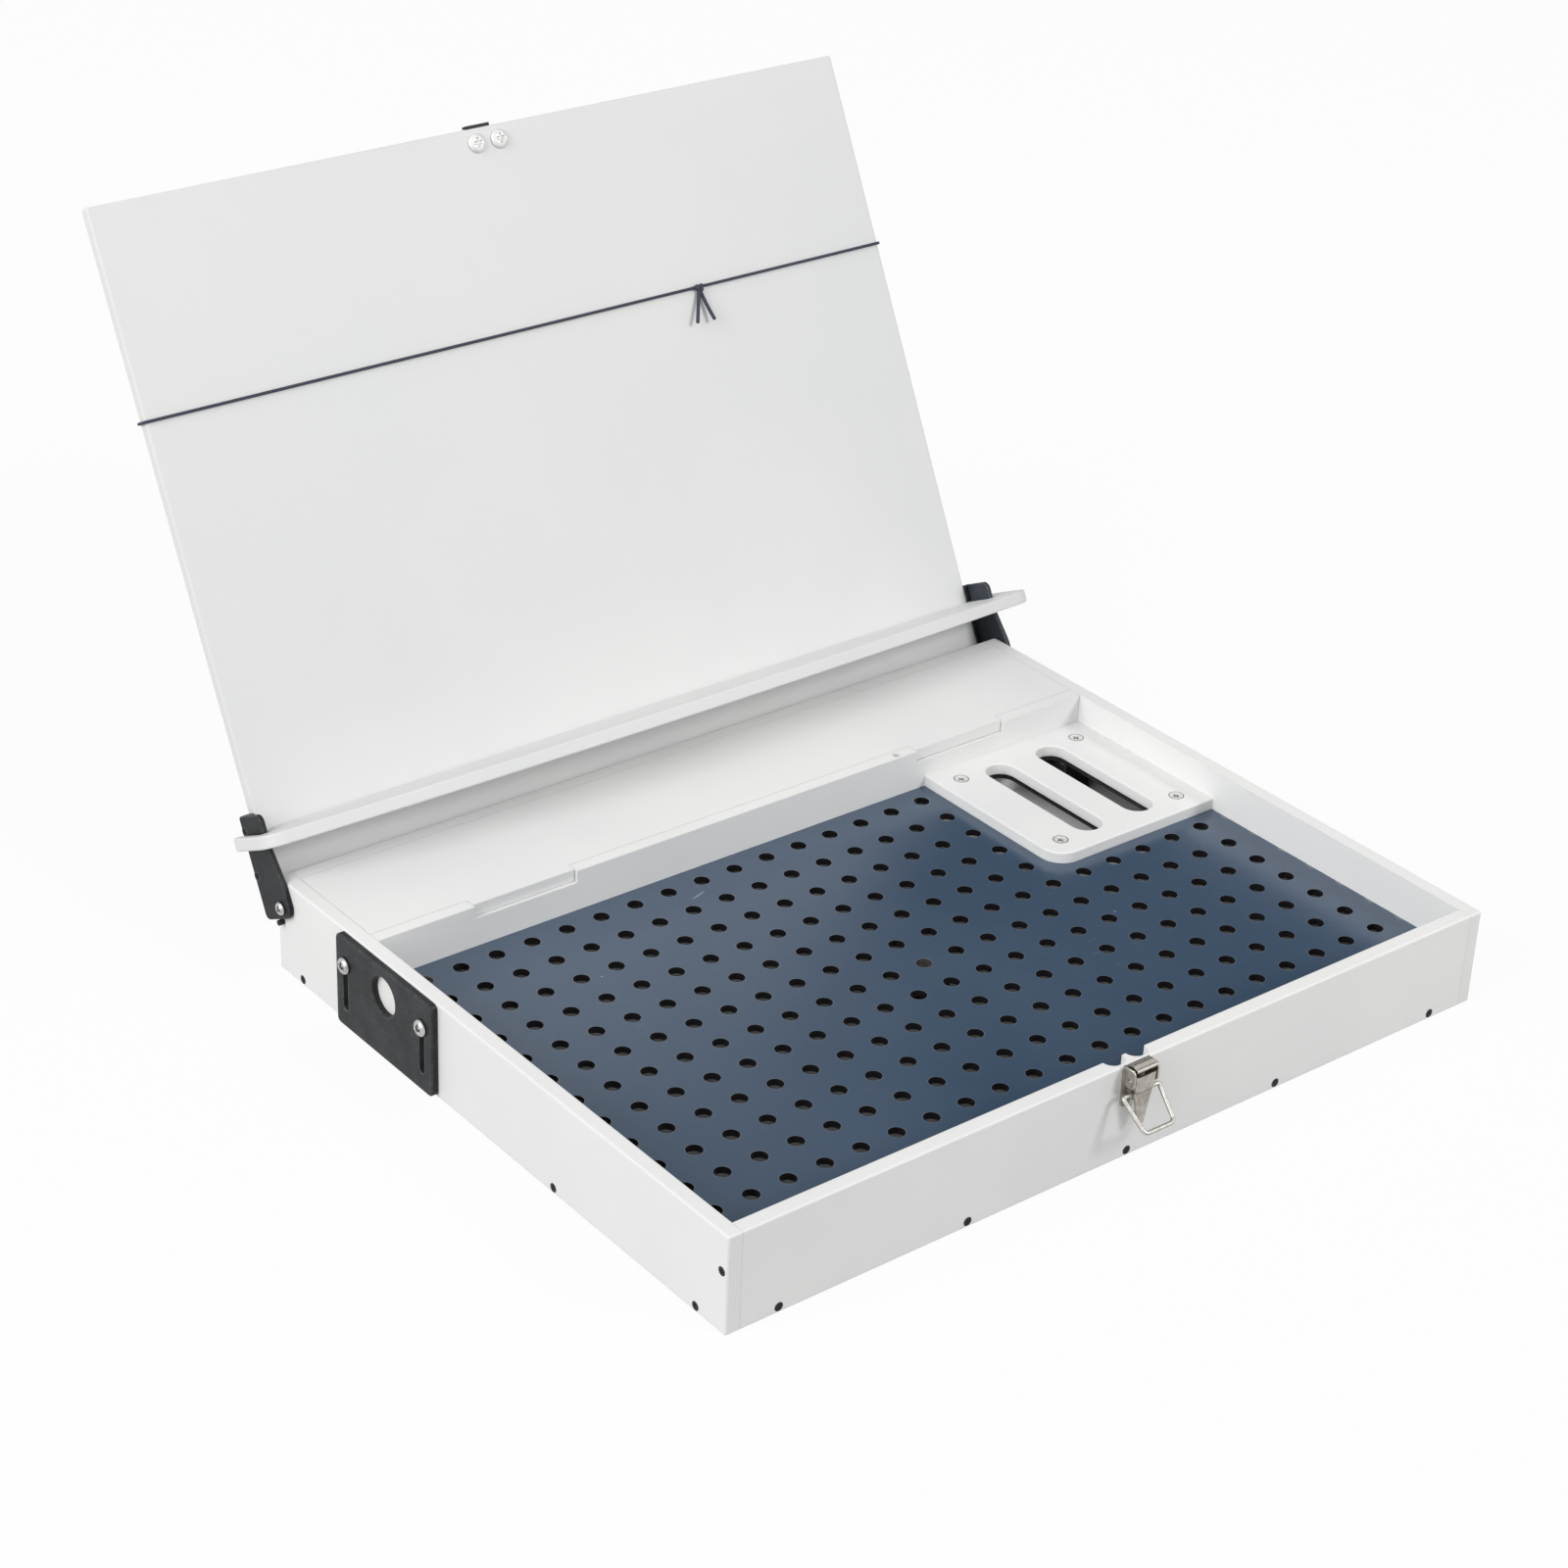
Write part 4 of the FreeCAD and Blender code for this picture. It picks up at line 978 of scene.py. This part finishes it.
def drawLatchBail():
    # round wire along a rounded path in its own leaning plane, ends hooked into the lever's cheeks
    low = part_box("latch_bail")[0]
    swingPoint = jointPlace("bail_swing")
    wire, hook, top, base = bailSet.wire, bailSet.hookEnd, bailSet.topHalf, bailSet.footHalf
    foot = np.array([0, low.y + wire, low.z + wire]) - swingPoint
    leg = np.linalg.norm(foot)
    spots = [(hook, 0), (top, 0), (base, leg), (-base, leg), (-top, 0), (-hook, 0)]
    flat = roundedPath(spots, bailSet.bends, bailSet.steps)
    path = swingPoint + flat[:, :1] * np.array([1, 0, 0]) + flat[:, 1:] * foot / leg
    across = np.cross((1, 0, 0), foot / leg)
    grid = tube(path, across, wire, bailSet.sides)
    bail = meshFromGrids("latchBail", [grid], wireNickel)
    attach(bail, "bail")
    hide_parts("latch_bail")


drawLatchBase()
drawLatchLever()
drawLatchBail()
print("draw latch: base, ears, lever and bail")

# elastic cord round the lid, knot and tails

cordSet = Settings(
    radius=0.00078,
    clear=0.00008,
    bend=0.001,
    knotX=0.1010,
    knotSize=0.0017,
    knotStretch=(1.25, 1.0, 1.1),
    knotRadius=0.000864,
    knotDrop=0.0006,
    knotLift=0.0011,
    tailRadius=0.00096,
    tailDrop=0.001,
    tailSink=0.0004,
    tailLength=(0.0190, 0.0177),
    tailLean=(-0.44, 0.13),
    tailCurl=(-0.0004, 0.0004),
    tailLift=0.0030,
    tipShare=0.035,
    tipLeast=0.02,
    points=(9, 60, 90, 40),   # on a corner, a long run, the knot and a tail
    sides=20,
)


def elasticCord():
    # loop: a rounded rectangle round the lid, four straight runs and four quarter turns
    inner, outer = lidSpan(lidPoints)[1].max(), lidSpan(lidPoints)[1].min()
    radius, sides = cordSet.radius, cordSet.sides
    cornerPoints, runPoints, knotPoints, tailPoints = cordSet.points
    cordAlong = lidSpan(corners("elastic_cord"))[0].max() - radius
    gap = radius + cordSet.clear
    bend = cordSet.bend + gap
    halfX = lidPoints[:, 0].max() + gap - bend
    halfOut = (inner - outer) / 2 + gap - bend
    middle = (inner + outer) / 2
    walk = []
    for k, (sx, so) in enumerate(((1, 1), (-1, 1), (-1, -1), (1, -1))):
        angle = np.linspace(0, np.pi / 2, cornerPoints) + k * np.pi / 2
        corner = np.stack([sx * halfX + bend * np.cos(angle),
                           middle + so * halfOut + bend * np.sin(angle)], 1)
        walk.append(corner)
        if k in (0, 2):   # long run across the lid, in front and behind
            walk.append(np.linspace(corner[-1], (-sx * halfX, corner[-1, 1]), runPoints)[1:-1])
    walk = np.concatenate(walk)
    loopPath = onLid(walk[:, 0], cordAlong, walk[:, 1])
    ahead = np.roll(loopPath, -1, 0) - np.roll(loopPath, 1, 0)
    loopTube = tube(loopPath, np.cross(ahead, lidUp), radius, sides, closed=True)
    loop = meshFromGrids("elasticLoop", [loopTube], finishes["elastic"], ends="loop")
    # knot: a flattened trefoil tube lying on the lid
    t = np.linspace(0, 2 * np.pi, knotPoints, endpoint=False)
    wide, high, deep = np.array(cordSet.knotStretch) * cordSet.knotSize / 3
    knotOut = inner + radius + cordSet.knotLift
    knotPath = onLid(
        cordSet.knotX + wide * (np.sin(t) + 2 * np.sin(2 * t)),
        cordAlong - cordSet.knotDrop + high * (np.cos(t) - 2 * np.cos(2 * t)),
        knotOut - deep * np.sin(3 * t))
    knotTube = tube(knotPath, lidOut, cordSet.knotRadius, sides, closed=True)
    knot = meshFromGrids("elasticKnot", [knotTube], finishes["elastic"], ends="loop")
    # tails: tubes hanging from the knot with a slight curl, closed by rounded tips
    s = np.linspace(0, 1, tailPoints)
    tipFrom = 1 - cordSet.tipShare
    end = np.clip((s - tipFrom) / cordSet.tipShare, 0, 1)
    taper = cordSet.tailRadius * np.sqrt(np.clip(1 - end ** 2, cordSet.tipLeast, 1))
    tails = []
    for lean, length, curl in zip(cordSet.tailLean, cordSet.tailLength, cordSet.tailCurl):
        path = onLid(
            cordSet.knotX + s * length * np.sin(lean) + curl * s ** 2,
            cordAlong - cordSet.tailDrop - s * length * np.cos(lean),
            knotOut - cordSet.tailSink + cordSet.tailLift * s ** 1.5)
        tails.append(tube(path, lidOut, taper, sides))
    ends = meshFromGrids("elasticTails", tails, finishes["elastic"])
    for piece in (loop, knot, ends):
        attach(piece, "lid")
    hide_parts("elastic_cord")
    print("elastic cord:", len(walk), "points round the lid")


elasticCord()

# painted shade: a dark ring round both tool slots at the work plate's top, standing for its shaded cut edge, which
# shows below the slots

slotShadeEdge = Settings(
    slots=("tool_slot_left", "tool_slot_right"),
    half=(0.0085, 0.0399),   # half a slot's width and length
    gap=0.0002,
    wall=0.0010,
    deep=0.0027,
    soft=0.0001,
    sides=64,
)


def drawSlotShadeEdges():
    # a small rectangle with its corners taken off, carried round each slot: half circles joined by
    # straight runs
    gap, wall, deep, soft = slotShadeEdge.gap, slotShadeEdge.wall, slotShadeEdge.deep, slotShadeEdge.soft
    far = gap + wall
    section = np.array([(gap, -soft), (gap, soft - deep), (gap + soft, -deep), (far - soft, -deep),
                        (far, soft - deep), (far, -soft), (far - soft, 0), (gap + soft, 0)])
    sides = slotShadeEdge.sides
    turn = np.linspace(0, 2 * np.pi, sides, endpoint=False) + np.pi / sides
    radius, halfLength = slotShadeEdge.half
    run = (halfLength - radius) * np.sign(np.sin(turn))
    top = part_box("work_plate")[1].z
    openings = frame["record"]["physics"]["openings"]
    boxes = {opening["name"]: np.array(opening["box_m"]) for opening in openings}
    grids = []
    for name in slotShadeEdge.slots:
        x, y, _ = boxes[name].mean(0)
        reach = radius + section[:, :1]
        grids.append(np.stack([x + reach * np.cos(turn), y + run + reach * np.sin(turn),
                               np.repeat(top + section[:, 1:], sides, 1)], -1))
    # the ring's upright faces take the near-black bore colour: painted shade
    edges = meshFromGrids("slotEdges", grids, finishes["blue_board"], ends="loop")
    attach(edges, "box")
    print("slot edges:", len(grids))


drawSlotShadeEdges()

# stage, light and camera

cameraSet = Settings(   # solved from the hole grid and the corners of box and lid
    place=(-0.94876, -1.07830, 0.89814),
    right=(0.78887, -0.61362, 0.03406),
    down=(-0.27398, -0.40075, -0.87426),
    ahead=(0.55011, 0.68035, -0.48426),
    focalPixels=3596.26,
    centrePixel=(774.38, 805.42),
    photoSize=1600,
    sensor=36.0,
    clip=(0.05, 60.0),
)


def addCamera():
    data = bpy.data.cameras.new("benchCamera")
    size = cameraSet.photoSize
    data.sensor_width = cameraSet.sensor
    data.lens = cameraSet.focalPixels * cameraSet.sensor / size
    data.shift_x = 0.5 - cameraSet.centrePixel[0] / size
    data.shift_y = cameraSet.centrePixel[1] / size - 0.5
    data.clip_start, data.clip_end = cameraSet.clip
    camera = bpy.data.objects.new("benchCamera", data)
    axes = np.stack([cameraSet.right, -np.array(cameraSet.down), -np.array(cameraSet.ahead)], 1)
    turn = Matrix(axes.tolist()).to_4x4()
    turn.translation = cameraSet.place
    camera.matrix_world = turn
    scene.collection.objects.link(camera)
    scene.camera = camera


lampSet = {
    "left": {"place": (-4.25, -0.15, 2.7), "aim": (0.0, 0.0, 0.1), "size": (3.6, 3.6), "power": 182.0},
    "right": {"place": (2.0, -3.6, 2.8), "aim": (0.0, 0.0, 0.1), "size": (1.2, 1.2), "power": 90.0},
}


def addLamps():
    for name, lamp in lampSet.items():
        data = bpy.data.lights.new(name + "Lamp", "AREA")
        data.shape = "RECTANGLE"
        data.size, data.size_y = lamp["size"]
        data.energy = lamp["power"]
        thing = bpy.data.objects.new(name + "Lamp", data)
        thing.location = lamp["place"]
        ahead = Vector(lamp["aim"]) - Vector(lamp["place"])
        thing.rotation_euler = ahead.to_track_quat("-Z", "Y").to_euler()
        scene.collection.objects.link(thing)


stageSet = Settings(
    floorHalf=(14.0, 14.0),
    albedo=(0.45, 0.45, 0.45, 1),
    white=1.055,
    shadowShare=0.12,
    ambient=0.52,
    cardPlace=(2.1, 1.85, 1.4),
    cardHalf=(1.8, 1.2),
    cardEdge=(0.31, 0.41),
    cardTones=(0.04, 0.42),
)


def stageSheet(name, halves, material):
    # flat rectangle in its own XY plane
    across, up = halves
    mesh = bpy.data.meshes.new(name)
    spots = [(-across, -up, 0), (across, -up, 0), (across, up, 0), (-across, up, 0)]
    mesh.from_pydata(spots, [], [(0, 1, 2, 3)])
    mesh.materials.append(material)
    piece = bpy.data.objects.new(name, mesh)
    scene.collection.objects.link(piece)
    return piece


def emptyTree(owner):
    owner.use_nodes = True
    owner.node_tree.nodes.clear()
    return owner.node_tree


def seenRays(tree):
    # 1 on rays from the camera, a reflection or a clear surface, 0 on those that carry light
    rays = addNode(tree, "LightPath")
    mirrored = calc(tree, "MAXIMUM", rays["Is Glossy Ray"], rays["Is Transmission Ray"])
    return calc(tree, "MAXIMUM", rays["Is Camera Ray"], mirrored)


def emission(tree, strength):
    return addNode(tree, "Emission", {"Color": (1, 1, 1, 1), "Strength": strength})[0]


def addFloor():
    # matt floor that takes the shadow, seen as nearly white
    material = bpy.data.materials.new("paleFloor")
    tree = emptyTree(material)
    matt = addNode(tree, "BsdfDiffuse", {"Color": stageSet.albedo})[0]
    share = times(tree, seenRays(tree), 1 - stageSet.shadowShare)
    mixed = addNode(tree, "MixShader", {0: share, 1: matt, 2: emission(tree, stageSet.white)})
    addNode(tree, "OutputMaterial", {0: mixed[0]})
    stageSheet("floor", stageSet.floorHalf, material)


def addCard():
    # card behind on the right, which only glossy rays see, for the sheen on the work plate:
    # one tone on each side of a soft upright edge
    material = bpy.data.materials.new("darkCard")
    tree = emptyTree(material)
    aside = parted(tree, addNode(tree, "TexCoord")["Object"])[0]
    tone = ramp(tree, aside, *stageSet.cardEdge, *stageSet.cardTones)
    addNode(tree, "OutputMaterial", {0: emission(tree, tone)})
    card = stageSheet("card", stageSet.cardHalf, material)
    card.location = stageSet.cardPlace
    card.rotation_euler = Vector(stageSet.cardPlace).to_track_quat("Z", "Y").to_euler()
    card.visible_camera = card.visible_diffuse = card.visible_shadow = card.visible_transmission = False


def addWorld():
    # even studio light, seen as white
    world = bpy.data.worlds.new("studio")
    scene.world = world
    tree = emptyTree(world)
    strength = ramp(tree, seenRays(tree), 0.0, 1.0, stageSet.ambient, 1.0)
    sky = addNode(tree, "Background", {"Color": (1, 1, 1, 1), "Strength": strength})[0]
    addNode(tree, "OutputWorld", {0: sky})


addCamera()
addLamps()
addFloor()
addCard()
addWorld()
scene.view_settings.view_transform = "Standard"
print("stage, lamps and camera set")
